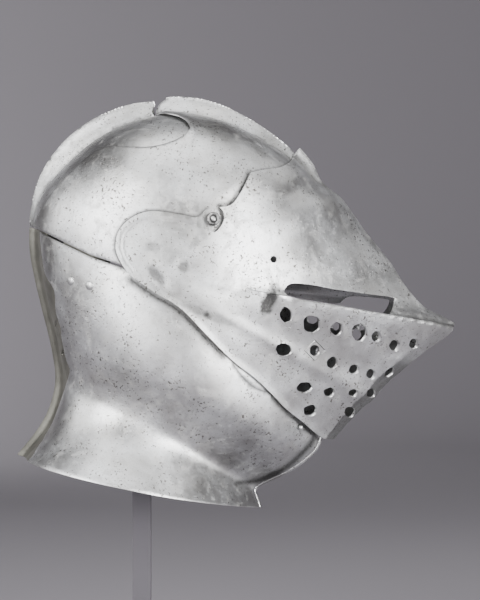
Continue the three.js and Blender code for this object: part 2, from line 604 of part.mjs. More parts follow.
// Pivots: a boss that fills the hole in the visor, on a stem through reinforce and skull
const bossLow = sideAt(reinforceOutside, xOf(0), zOf(0), PIVOT_BOSS) + SEAT_GAP;
const bossHigh = sideAt(visorOutside, xOf(0), zOf(0));
const clinch = sideAt(skullInside, xOf(0) + PIVOT_CLINCH, zOf(0) + PIVOT_CLINCH) - SEAT_GAP;
for (const [side, word] of SIDES) {
  const seat = { point: new THREE.Vector3(xOf(0), 0, zOf(0)), out: new THREE.Vector3(0, side, 0) };
  addPiece(`pivot_${word}`, turned([
    [0, clinch - PIVOT_DOME], [PIVOT_CLINCH, clinch - PIVOT_DOME], [PIVOT_CLINCH, clinch],
    [PIVOT_STEM, clinch], [PIVOT_STEM, bossLow], [PIVOT_BOSS, bossLow], [PIVOT_BOSS, bossHigh],
    [PIVOT_HEAD, bossHigh], [PIVOT_HEAD * 0.85, bossHigh + PIVOT_DOME * 0.6], [0, bossHigh + PIVOT_DOME],
  ], seat, 14), STEEL);
}

// Stand: a flat base, and a square post that ends in a pad shaped to the inside of the crown
function squareBar(width, low, high) {
  return prismOf(rectangle(POST_X - width / 2, POST_X + width / 2, low, high), -width / 2, width / 2);
}
const crown = bowl(-SKULL_WALL - SEAT_GAP, REAR, 0, 0);
const crownTop = squareBar(POST_WIDTH, 0, zOf(0.5)).intersect(crown).boundingBox().max[2];
const pad = squareBar(PAD_WIDTH, crownTop - PAD_DEPTH, zOf(0.5)).intersect(crown);
const post = squareBar(POST_WIDTH, BASE_THICKNESS + SEAT_GAP, crownTop - PAD_DEPTH / 2);
addPiece('stand_post', post.add(pad), PAINT);

const plate = new THREE.Shape();
[[1, 1], [-1, 1], [-1, -1], [1, -1]].forEach(([x, y], quarter) => {
  const middle = [x * (BASE_LENGTH / 2 - BASE_CORNER), y * (BASE_WIDTH / 2 - BASE_CORNER)];
  plate.absarc(...middle, BASE_CORNER, (quarter * Math.PI) / 2, ((quarter + 1) * Math.PI) / 2, false);
});
const thickness = { depth: BASE_THICKNESS, bevelEnabled: false, curveSegments: 4 };
addPiece('stand_base', solidOfGeometry(new THREE.ExtrudeGeometry(plate, thickness)), PAINT);

export default group;
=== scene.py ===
"""Close helmet of armet type on its post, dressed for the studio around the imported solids.

Lengths are in millimetres, +Z up and the visor faces +X, until a mesh is made, which is in metres.
"""
from __future__ import annotations

import logging
import math
from dataclasses import dataclass, field
from enum import Enum
from typing import Callable, Iterable, Optional, Sequence, Union

import bmesh
import bpy
import numpy as np
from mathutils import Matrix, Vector, noise
from mathutils.geometry import delaunay_2d_cdt
from mathutils.kdtree import KDTree


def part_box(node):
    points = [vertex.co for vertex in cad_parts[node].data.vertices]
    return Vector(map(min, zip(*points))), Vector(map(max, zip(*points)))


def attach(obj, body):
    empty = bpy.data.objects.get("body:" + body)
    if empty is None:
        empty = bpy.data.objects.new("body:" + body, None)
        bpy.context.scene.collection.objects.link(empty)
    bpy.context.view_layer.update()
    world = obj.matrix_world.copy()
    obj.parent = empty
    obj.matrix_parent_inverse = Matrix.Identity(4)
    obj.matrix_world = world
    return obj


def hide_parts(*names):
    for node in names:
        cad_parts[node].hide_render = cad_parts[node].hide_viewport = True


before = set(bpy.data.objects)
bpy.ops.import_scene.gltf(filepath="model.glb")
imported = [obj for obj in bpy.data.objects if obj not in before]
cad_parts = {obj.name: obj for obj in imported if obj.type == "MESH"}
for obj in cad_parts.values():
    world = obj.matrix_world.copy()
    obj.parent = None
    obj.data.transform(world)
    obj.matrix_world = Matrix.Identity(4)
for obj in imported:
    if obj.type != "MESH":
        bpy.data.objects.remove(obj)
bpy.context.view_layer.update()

log = logging.getLogger("helmet")

Array = np.ndarray
Line = Sequence[Sequence[float]]

MM = 0.001
LENGTH = 350.0
HEIGHT = 332.0
PIVOT_X = -0.0483 * LENGTH
PIVOT_Z = 150.0 + 0.6913 * HEIGHT
# Samples from one given place of a line to the next
STEPS = 6
SHARP = math.radians(38)
# Height of a row of even triangles as a share of their side
TRIANGLE_ROW = 0.866


class Side(Enum):
    """The two sides of the helmet, by the sign of Y."""

    RIGHT = -1
    LEFT = 1


class Comb(Enum):
    """The two combs, by their place among the heights in BOWL."""

    REAR = 0
    FRONT = 1


class Body(Enum):
    """The bodies that the pieces ride on."""

    STATIC = "helmet_on_stand"
    MOVING = "visor"


class Slot(Enum):
    """The record's material slots of the pieces."""

    STEEL = "steel"
    DARK_STEEL = "dark_steel"


# Lines

def to_mm(shares: Line) -> Array:
    """Turns side-view shares from the pivot line into millimetres.

    Args:
        shares: points, x as a share of LENGTH and z of HEIGHT, with any further columns kept.

    Returns:
        The rows with x and z in millimetres.
    """
    rows = np.array(shares, float)
    rows[:, 0] = PIVOT_X + LENGTH * rows[:, 0]
    rows[:, 1] = PIVOT_Z + HEIGHT * rows[:, 1]
    return rows


def spot(place: Sequence[float]) -> Array:
    """One place in side view, in millimetres."""
    return to_mm([place])[0]


def eased(rows: Array, closed: bool, steps: int) -> Array:
    """Runs a smooth line through given rows; rows that nearly meet make a corner.

    Args:
        rows: x, z and any further columns, eased with them.
        closed: whether the line returns to its first row.
        steps: samples from one row to the next.

    Returns:
        The dense rows.
    """
    count = len(rows)
    parts = []
    for i in range(count if closed else count - 1):
        if closed:
            quad = [rows[(i + k) % count] for k in (-1, 0, 1, 2)]
        else:
            before = rows[i - 1] if i > 0 else 2 * rows[0] - rows[1]
            after = rows[i + 2] if i + 2 < count else 2 * rows[-1] - rows[-2]
            quad = [before, rows[i], rows[i + 1], after]
        knots = [0.0]
        for p, q in zip(quad, quad[1:]):
            knots.append(knots[-1] + max(float(np.hypot(*(q - p)[:2])), 1e-6) ** 0.5)
        t = np.linspace(knots[1], knots[2], steps, endpoint=False)[:, None]

        def between(a: Array, b: Array, low: int, high: int) -> Array:
            """Mixes two rows, by t, over the span from the low knot to the high one."""
            span = knots[high] - knots[low]
            return ((knots[high] - t) * a + (t - knots[low]) * b) / span

        first = [between(quad[k], quad[k + 1], k, k + 1) for k in range(3)]
        second = [between(first[k], first[k + 1], k, k + 2) for k in range(2)]
        parts.append(between(second[0], second[1], 1, 2))
    line = np.vstack(parts)
    return line if closed else np.vstack([line, rows[-1]])


def smooth(shares: Line, steps: int = STEPS, closed: bool = False) -> Array:
    """A smooth line in millimetres through side-view shares."""
    return eased(to_mm(shares), closed, steps)


def even(line: Array, spacing: float, closed: bool) -> Array:
    """Resamples a polyline, keeping its corners.

    Args:
        line: points in two dimensions.
        spacing: wanted distance between points.
        closed: whether the last point joins the first.

    Returns:
        The resampled points.
    """
    ends = np.vstack([line[1:], line[:1]]) if closed else line[1:]
    starts = line if closed else line[:-1]
    parts = []
    for a, b in zip(starts, ends):
        count = max(1, int(round(np.hypot(*(b - a)) / spacing)))
        parts.append(a + (b - a) * np.linspace(0, 1, count, endpoint=False)[:, None])
    return np.vstack(parts) if closed else np.vstack(parts + [line[-1:]])


def simplified(line: Array, tolerance: float) -> Array:
    """Drops the points of a polyline that lie on a straight run.

    Args:
        line: points in two dimensions.
        tolerance: how far a dropped point may lie from the new line.

    Returns:
        The kept points.
    """
    keep = {0, len(line) - 1}
    runs = [(0, len(line) - 1)]
    while runs:
        a, b = runs.pop()
        if b - a < 2:
            continue
        way = line[b] - line[a]
        off = line[a + 1:b] - line[a]
        size = max(float(np.hypot(*way)), 1e-9)
        gap = np.abs(way[0] * off[:, 1] - way[1] * off[:, 0]) / size if size > 1e-6 else np.hypot(*off.T)
        worst = int(np.argmax(gap))
        if gap[worst] > tolerance:
            keep.add(a + 1 + worst)
            runs += [(a, a + 1 + worst), (a + 1 + worst, b)]
    return line[sorted(keep)]


def distance_to(points: Array, line: Array, closed: bool = False) -> tuple[Array, Array]:
    """Distance from points to a polyline in two dimensions.

    Args:
        points: n by 2.
        line: m by 2.
        closed: whether the last point joins the first.

    Returns:
        The distances, and each nearest place along the line as a share of its length.
    """
    starts = line if closed else line[:-1]
    ends = np.vstack([line[1:], line[:1]]) if closed else line[1:]
    lengths = np.maximum(np.hypot(*(ends - starts).T), 1e-9)
    travelled = np.concatenate([[0.0], np.cumsum(lengths)])
    best = np.full(len(points), 1e9)
    place = np.zeros(len(points))
    for k, (a, b) in enumerate(zip(starts, ends)):
        along = np.clip(((points - a) @ (b - a)) / lengths[k] ** 2, 0, 1)
        gap = np.hypot(*(points - a - along[:, None] * (b - a)).T)
        nearer = gap < best
        best[nearer] = gap[nearer]
        place[nearer] = travelled[k] + along[nearer] * lengths[k]
    return best, place / travelled[-1]


def beside(line: Array, gap: float) -> Array:
    """Shifts a line sideways, to its left where the gap is positive."""
    along = np.gradient(line, axis=0)
    return line + gap * np.column_stack([-along[:, 1], along[:, 0]]) / np.hypot(*along.T)[:, None]


def inside(points: Array, polygon: Array) -> Array:
    """Tells which points lie inside a closed polygon.

    Args:
        points: n by 2.
        polygon: m by 2.

    Returns:
        n booleans.
    """
    result = np.zeros(len(points), bool)
    x, y = points[:, 0], points[:, 1]
    for (ax, ay), (bx, by) in zip(polygon, np.vstack([polygon[1:], polygon[:1]])):
        if ay == by:
            continue
        crosses = (ay > y) != (by > y)
        result ^= crosses & (x < (bx - ax) * (y - ay) / (by - ay) + ax)
    return result


# Forms

class Form:
    """A smooth half of a plate's shape, spread out flat so that outlines can be cut in it."""

    def place(self, flat: Array, inner: bool = False) -> Array:
        """Gives the points in space, on the left half, for points of the flat pattern."""
        raise NotImplementedError

    def flat(self, side_view: Array) -> Array:
        """Gives the points of the flat pattern for points in side view."""
        raise NotImplementedError


class Bulge(Form):
    """A bulging form round a pole line: the skull's bowl or the visor."""

    SAMPLES = 161
    SIDE_SAMPLES = 72
    FLANK_SAMPLES = 18
    CREST_SAMPLES = 6
    LEDGE_START = 0.3
    LEDGE_RISE = 0.12
    LEDGE_END = 0.05
    FLARE = 0.3
    LEAST_CREST = 0.3
    CREST_ROUND = 0.6

    def __init__(self, rows: Array, pole: Array, side: float, wall: float, inside_comb: float,
                 grow: float = 0.0, steps: int = 26) -> None:
        """Works out the cross-sections.

        Args:
            rows: x, z, full, keel, comb, foot, crest, ledge and blunt for each row of the outline, in
                millimetres, blunt as a share of the foot.
            pole: x and z of the pole line.
            side: half the width.
            wall: thickness of the sheet.
            inside_comb: how much lower a comb is inside.
            grow: how far the form is grown.
            steps: samples from row to row.
        """
        self.pole = pole
        dense = eased(rows, True, steps)
        ray = dense[:, :2] - pole
        angle = np.arctan2(ray[:, 1], ray[:, 0])
        order = np.argsort(angle)
        self.angle = angle[order]
        dense, reach = dense[order], np.hypot(*ray[order].T) + grow
        dense[:, 4] = np.maximum(dense[:, 4], 0)
        side += grow
        outer = [self._section(*row, reach=r, side=side, inset=0.0, trim=0.0)
                 for row, r in zip(dense[:, 2:], reach)]
        inner = [self._section(*row, reach=r, side=side, inset=wall, trim=inside_comb)
                 for row, r in zip(dense[:, 2:], reach)]
        self.length = np.array([s[2] for s in outer])
        self.foot = np.array([s[3] for s in outer])
        self.tables = {False: np.array([s[:2] for s in outer]), True: np.array([s[:2] for s in inner])}

    def _section(self, full: float, keel: float, comb: float, foot: float, crest: float, ledge: float,
                 blunt: float, reach: float, side: float, inset: float,
                 trim: float) -> tuple[Array, Array, float, float]:
        """Works out one cross-section from the pole to the median line.

        Args:
            full: how full the section is.
            keel: how sharp it is at the median line.
            comb: height of the comb.
            foot: half the comb's width at its foot.
            crest: half its width along the crest.
            ledge: how far the section is lifted.
            blunt: how much narrower the facet between foot and crest looks from the side.
            reach: distance from pole to outline.
            side: half the width.
            inset: thickness taken off.
            trim: how much lower the comb is.

        Returns:
            Reach and half width at even places, the section's length, and the foot's place on it.
        """
        if inset:
            slope = full * keel * side / reach
            sharp = np.clip((keel - 0.5) / 0.5, 0, 1)
            reach = reach - inset * (1 + sharp * (math.sqrt(1 + 1 / slope ** 2) - 1))
            side, foot, crest = side - inset, foot - inset, self.LEAST_CREST
        comb = max(0.0, comb - trim)
        foot_at = (1 - (foot / side) ** (1 / keel)) ** (1 / full)
        foot_at += (1 - foot_at) * blunt
        t = foot_at * np.sin(np.linspace(0, math.pi / 2, self.SIDE_SAMPLES))
        rise = np.clip((t - self.LEDGE_START) / self.LEDGE_RISE, 0, 1)
        lift = ledge * rise * np.clip((1 - t) / self.LEDGE_END, 0, 1)
        lift += (foot - side * (1 - foot_at ** full) ** keel) * np.clip(t / foot_at * 3 - 2, 0, 1) ** 2
        r, y = [reach * t], [side * (1 - t ** full) ** keel + lift]
        bend = 1 + self.FLARE * np.clip(comb / foot, 0, 1)
        f = np.linspace(0, 1, self.FLANK_SAMPLES)[1:]
        top = reach + comb - self.CREST_ROUND * crest
        r.append(reach * foot_at + (top - reach * foot_at) * f)
        y.append(crest + (y[0][-1] - crest) * (1 - f) ** bend)
        turn = np.linspace(0, math.pi / 2, self.CREST_SAMPLES)[1:]
        r.append(top + self.CREST_ROUND * crest * np.sin(turn))
        y.append(crest * np.cos(turn))
        r, y = np.concatenate(r), np.concatenate(y)
        travelled = np.concatenate([[0.0], np.cumsum(np.hypot(np.diff(r), np.diff(y)))])
        share = np.linspace(0, travelled[-1], self.SAMPLES)
        return (np.interp(share, travelled, r), np.interp(share, travelled, y), travelled[-1],
                travelled[len(t) - 1] / travelled[-1])

    def _between(self, angle: Array) -> tuple[Array, Array, Array]:
        """Finds the neighbouring sections of angles.

        Args:
            angle: directions from the pole, in radians.

        Returns:
            The sections before and after each angle, and the mix between them.
        """
        count = len(self.angle)
        high = np.searchsorted(self.angle, angle)
        low = high - 1
        start = np.where(low < 0, self.angle[-1] - 2 * math.pi, self.angle[low % count])
        end = np.where(high >= count, self.angle[0] + 2 * math.pi, self.angle[high % count])
        return low % count, high % count, (angle - start) / np.maximum(end - start, 1e-12)

    def reach_length(self, angle: Array, values: Optional[Array] = None) -> Array:
        """Reads a value kept for each section.

        Args:
            angle: directions from the pole, in radians.
            values: the values, or nothing for the sections' lengths.

        Returns:
            The values at the angles.
        """
        low, high, mix = self._between(angle)
        values = self.length if values is None else values
        return values[low] * (1 - mix) + values[high] * mix

    def place(self, flat: Array, inner: bool = False) -> Array:
        """Does what Form.place says.

        Args:
            flat: flat points.
            inner: whether on the inside of the sheet.

        Returns:
            The points in space.
        """
        angle = np.arctan2(flat[:, 1], flat[:, 0])
        low, high, mix = self._between(angle)
        length = self.length[low] * (1 - mix) + self.length[high] * mix
        sample = np.clip(np.hypot(*flat.T) / length, 0, 1) * (self.SAMPLES - 1)
        cell = np.minimum(sample.astype(int), self.SAMPLES - 2)
        part = sample - cell
        table = self.tables[inner]

        def read(column: int) -> Array:
            """Reads a column of the table between its four neighbours.

            Args:
                column: 0 for the reach, 1 for the half width.

            Returns:
                The value at each point.
            """
            near = table[low, column, cell] * (1 - part) + table[low, column, cell + 1] * part
            far = table[high, column, cell] * (1 - part) + table[high, column, cell + 1] * part
            return near * (1 - mix) + far * mix

        reach, y = read(0), read(1)
        x, z = self.pole[0] + reach * np.cos(angle), self.pole[1] + reach * np.sin(angle)
        return np.column_stack([x, y, z])

    def flat(self, side_view: Array) -> Array:
        """Does what Form.flat says.

        Args:
            side_view: places in side view.

        Returns:
            The flat points.
        """
        ray = side_view - self.pole
        angle, reach = np.arctan2(ray[:, 1], ray[:, 0]), np.hypot(*ray.T)
        low, high, mix = self._between(angle)
        shares = np.linspace(0, 1, self.SAMPLES)
        table = self.tables[False]
        result = np.empty(len(side_view))
        for i in range(len(side_view)):
            row = table[low[i], 0] * (1 - mix[i]) + table[high[i], 0] * mix[i]
            length = self.length[low[i]] * (1 - mix[i]) + self.length[high[i]] * mix[i]
            past = max(0.0, reach[i] - row[-1])
            result[i] = np.interp(reach[i], row, shares) * length + past
        return result[:, None] * np.column_stack([np.cos(angle), np.sin(angle)])

    def _round(self, reach: Array) -> Array:
        """A line round the pole at a distance for each section."""
        line = reach[:, None] * np.column_stack([np.cos(self.angle), np.sin(self.angle)])
        return simplified(line, 0.03)

    def rim(self) -> Array:
        """The pattern's outline, which is the median line."""
        return self._round(self.length)

    def foot_line(self) -> Array:
        """The line along the comb's foot."""
        return self._round(self.length * self.foot)

    def past_foot(self, flat: Array) -> Array:
        """Tells how far points of the flat pattern lie past the comb's foot.

        Args:
            flat: the points.

        Returns:
            How far, as a share of the section; below 0 on the near side of the foot.
        """
        angle = np.arctan2(flat[:, 1], flat[:, 0])
        return np.hypot(*flat.T) / self.reach_length(angle) - self.reach_length(angle, self.foot)

    def direction(self, point: Array) -> float:
        """The direction from the pole to a place in side view, in radians."""
        return math.atan2(point[1] - self.pole[1], point[0] - self.pole[0])

    def ray(self, point: Array, start: float) -> Array:
        """A straight crease from the inside of the pattern to its outline.

        Args:
            point: x and z of a place in side view on the crease.
            start: where it starts, a share of the section.

        Returns:
            Its two ends.
        """
        angle = self.direction(point)
        length = float(self.reach_length(np.array([angle]))[0])
        way = np.array([math.cos(angle), math.sin(angle)])
        return np.array([way * length * start, way * length])


class Jaw(Form):
    """The form of jaw, neck and collar: rows from the nape to the chin."""

    SAMPLES = 201
    GIRTH = 270.0
    DEPTH = 190.0
    WIDEST = 0.4
    CHIN_LEAD = 1.3
    KEEL_HEIGHTS = (1.0, 0.9, 0.35)
    KEEL_WIDTHS = (0.0, 1.3, 4.5)
    HALF_SAMPLES = 60
    REAR_START = 0.985
    REAR_SPREAD = 0.6
    REAR_FULL = 2.2
    REAR_SHARP = 0.46
    FRONT_FULL = 2.4

    def __init__(self, rows: Array, offset: float, keel: float, wall: float) -> None:
        """Works out the rows.

        Args:
            rows: rear x, rear z, front x, front z, half width, bow, in millimetres.
            offset: how far the form is grown.
            keel: height of the keel at the nape.
            wall: thickness of the sheet.
        """
        dense = eased(rows, False, 20)
        rear = np.concatenate([[0.0], np.cumsum(np.hypot(*np.diff(dense[:, :2], axis=0).T))])
        front = np.concatenate([[0.0], np.cumsum(np.hypot(*np.diff(dense[:, 2:4], axis=0).T))])
        self.down = (rear / rear[-1] + front / front[-1]) / 2
        inner_keel = keel - wall if keel else keel
        self.tables = {
            False: np.array([self._row(row, offset, keel) for row in dense]),
            True: np.array([self._row(row, offset - wall, inner_keel) for row in dense]),
        }

    def _row(self, row: Array, offset: float, keel: float) -> Array:
        """Works out one row from the nape's median line to the chin's.

        Args:
            row: rear x, rear z, front x, front z, half width, bow.
            offset: how far the form is grown.
            keel: height of the keel at the nape.

        Returns:
            x, y and z at even places.
        """
        a, b, wide, bow = row[:2], row[2:4], row[4], row[5]
        length = float(np.hypot(*(b - a)))
        along = (b - a) / length
        side = wide + offset
        middle = self.WIDEST * length
        front = length - middle + offset * self.CHIN_LEAD
        back = np.linspace(self.REAR_START, 0, self.HALF_SAMPLES) ** self.REAR_SPREAD
        s = [-offset - keel * np.array(self.KEEL_HEIGHTS), middle - (middle + offset) * back]
        y = [np.array(self.KEEL_WIDTHS), side * (1 - back ** self.REAR_FULL) ** self.REAR_SHARP]
        ahead = np.linspace(0, 1, self.HALF_SAMPLES)[1:]
        s.append(middle + front * ahead)
        y.append(side * (1 - ahead ** self.FRONT_FULL))
        s, y = np.concatenate(s), np.concatenate(y)
        travelled = np.concatenate([[0.0], np.cumsum(np.hypot(np.diff(s), np.diff(y)))])
        share = np.linspace(0, travelled[-1], self.SAMPLES)
        s, y = np.interp(share, travelled, s), np.interp(share, travelled, y)
        part = np.clip(s / length, 0, 1)
        return np.column_stack([a[0] + along[0] * s, y, a[1] + along[1] * s + bow * 4 * part * (1 - part)])

    def place(self, flat: Array, inner: bool = False) -> Array:
        """Does what Form.place says; past the chin the form goes on over the median plane.

        Args:
            flat: flat points.
            inner: whether on the inside of the sheet.

        Returns:
            The points in space.
        """
        table = self.tables[inner]
        across = flat[:, 0] / self.GIRTH
        beyond = across > 1
        across = np.clip(np.where(beyond, 2 - across, across), 0, 1) * (self.SAMPLES - 1)
        cell = np.minimum(across.astype(int), self.SAMPLES - 2)
        part = (across - cell)[:, None]
        down = np.interp(flat[:, 1] / self.DEPTH, self.down, np.arange(len(self.down)))
        row = np.minimum(down.astype(int), len(self.down) - 2)
        mix = (down - row)[:, None]
        near = table[row, cell] * (1 - part) + table[row, cell + 1] * part
        far = table[row + 1, cell] * (1 - part) + table[row + 1, cell + 1] * part
        result = near * (1 - mix) + far * mix
        result[beyond, 1] *= -1
        return result

    def flat(self, side_view: Array) -> Array:
        """Does what Form.flat says.

        Args:
            side_view: places in side view.

        Returns:
            The flat points.
        """
        table = self.tables[False]
        shares = np.linspace(0, 1, self.SAMPLES)
        result = []
        for x, z in side_view:
            heights = np.array([np.interp(x, row[:, 0], row[:, 2]) for row in table])
            gap = heights - z
            if gap[0] < 0:
                down, row = gap[0] / self.DEPTH, 0
            elif gap[-1] > 0:
                down, row = 1 + gap[-1] / self.DEPTH, len(table) - 1
            else:
                row = int(np.argmax(gap <= 0))
                mix = gap[row - 1] / max(gap[row - 1] - gap[row], 1e-9)
                down = self.down[row - 1] * (1 - mix) + self.down[row] * mix
            line = table[row]
            across = np.interp(x, line[:, 0], shares)
            if x < line[0, 0]:
                across = (x - line[0, 0]) / self.GIRTH
            elif x > line[-1, 0]:
                across = 1 + (x - line[-1, 0]) / self.GIRTH
            result.append([across * self.GIRTH, down * self.DEPTH])
        return np.array(result)

    def limit(self, half_width: float, beyond: bool) -> Array:
        """Finds where the form in front is a given distance from the median plane.

        Args:
            half_width: the distance in millimetres.
            beyond: whether it is measured past the median plane.

        Returns:
            The flat line, from the top down.
        """
        line = []
        shares = np.linspace(0, 1, self.SAMPLES)
        for row, down in zip(self.tables[False], self.down):
            front = row[self.SAMPLES // 2:]
            across = float(np.interp(-half_width, -front[:, 1], shares[self.SAMPLES // 2:]))
            line.append([(2 - across if beyond else across) * self.GIRTH, down * self.DEPTH])
        return np.array(line)


# Sheets

@dataclass
class Pattern:
    """What is cut out of a form: every outline is in the flat pattern, in millimetres."""

    keep: list[Array]
    holes: list[Array] = field(default_factory=list)
    creases: list[Array] = field(default_factory=list)
    spacing: float = 2.2
    ring_steps: tuple[float, ...] = (0.8, 1.8)
    ringed: float = 25.0


def rings_round(hole: Array, steps: Iterable[float]) -> Array:
    """Points on rings just outside a hole, for the lip.

    Args:
        hole: the hole's outline.
        steps: distances of the rings from the edge.

    Returns:
        The points.
    """
    middle = hole.mean(0)
    away = hole - middle
    reach = np.hypot(*away.T)[:, None]
    return np.vstack([middle + away * (reach + step) / reach for step in steps])


def cut(pattern: Pattern) -> tuple[Array, Array]:
    """Makes an even net of triangles in a flat pattern.

    Args:
        pattern: the outlines.

    Returns:
        Flat points and triangles.
    """
    spacing = pattern.spacing
    lines = [(even(k, spacing, True), True) for k in pattern.keep]
    lines += [(h, True) for h in pattern.holes]
    lines += [(even(c, spacing, False), False) for c in pattern.creases]
    small = [hole for hole in pattern.holes if np.ptp(hole, axis=0).max() < pattern.ringed]
    extra = [rings_round(hole, pattern.ring_steps) for hole in small]
    bound = pattern.keep[0]
    low, high = bound.min(0), bound.max(0)
    xs = np.arange(low[0], high[0], spacing)
    zs = np.arange(low[1], high[1], spacing * TRIANGLE_ROW)
    grid = np.array([[x + (j % 2) * spacing / 2, z] for j, z in enumerate(zs) for x in xs])

    def kept(points: Array) -> Array:
        """Tells which points lie in the pattern's sheet.

        Args:
            points: flat points.

        Returns:
            A boolean for each.
        """
        good = np.ones(len(points), bool)
        for polygon in pattern.keep:
            good &= inside(points, polygon)
        for hole in pattern.holes:
            good &= ~inside(points, hole)
        return good

    fixed = np.vstack([line for line, _ in lines])
    tree = KDTree(len(fixed))
    for i, (x, z) in enumerate(fixed):
        tree.insert((x, z, 0), i)
    tree.balance()

    def clear(points: Array, room: float) -> Array:
        """Keeps the points that lie away from every line."""
        return np.array([p for p in points if tree.find((p[0], p[1], 0))[2] > room]).reshape(-1, 2)

    points = [fixed]
    if extra:
        ring = np.vstack(extra)
        ring = clear(ring[kept(ring)], 0.45 * pattern.ring_steps[0])
        points.append(ring)
        near = KDTree(len(ring))
        for i, (x, z) in enumerate(ring):
            near.insert((x, z, 0), i)
        near.balance()
    grid = clear(grid[kept(grid)], 0.6 * spacing)
    if extra and len(ring):
        grid = np.array([p for p in grid if near.find((p[0], p[1], 0))[2] > 0.6 * spacing]).reshape(-1, 2)
    points.append(grid)
    edges, start = [], 0
    for line, closed in lines:
        count = len(line)
        edges += [(start + i, start + (i + 1) % count) for i in range(count if closed else count - 1)]
        start += count
    every = np.vstack(points)
    vertices, _, faces, *_ = delaunay_2d_cdt([Vector(p) for p in every], edges, [], 0, 1e-4)
    flat = np.array([v[:] for v in vertices])
    triangles = np.array([f[:] for f in faces])
    triangles = triangles[kept(flat[triangles].mean(1))]
    used, triangles = np.unique(triangles, return_inverse=True)
    return flat[used], triangles.reshape(-1, 3)


def normals_of(points: Array, triangles: Array) -> Array:
    """Works out smooth normals.

    Args:
        points: the points of a net.
        triangles: its triangles.

    Returns:
        The normal at each point.
    """
    corners = points[triangles]
    face = np.cross(corners[:, 1] - corners[:, 0], corners[:, 2] - corners[:, 0])
    result = np.zeros_like(points)
    for k in range(3):
        np.add.at(result, triangles[:, k], face)
    return result / np.maximum(np.linalg.norm(result, axis=1, keepdims=True), 1e-12)


def long_edges(border: Array, points: Array, least: float) -> set[int]:
    """Finds the long edges of a sheet.

    Args:
        border: pairs of points along its edges.
        points: the points in millimetres.
        least: how far an edge runs at least.

    Returns:
        The points on edges that long.
    """
    after = dict(border.tolist())
    result, seen = set(), set()
    for start in after:
        loop, at, far = [], start, 0.0
        while at not in seen and at in after:
            seen.add(at)
            loop.append(at)
            far += float(np.linalg.norm(points[after[at]] - points[at]))
            at = after[at]
        if far >= least:
            result.update(loop)
    return result


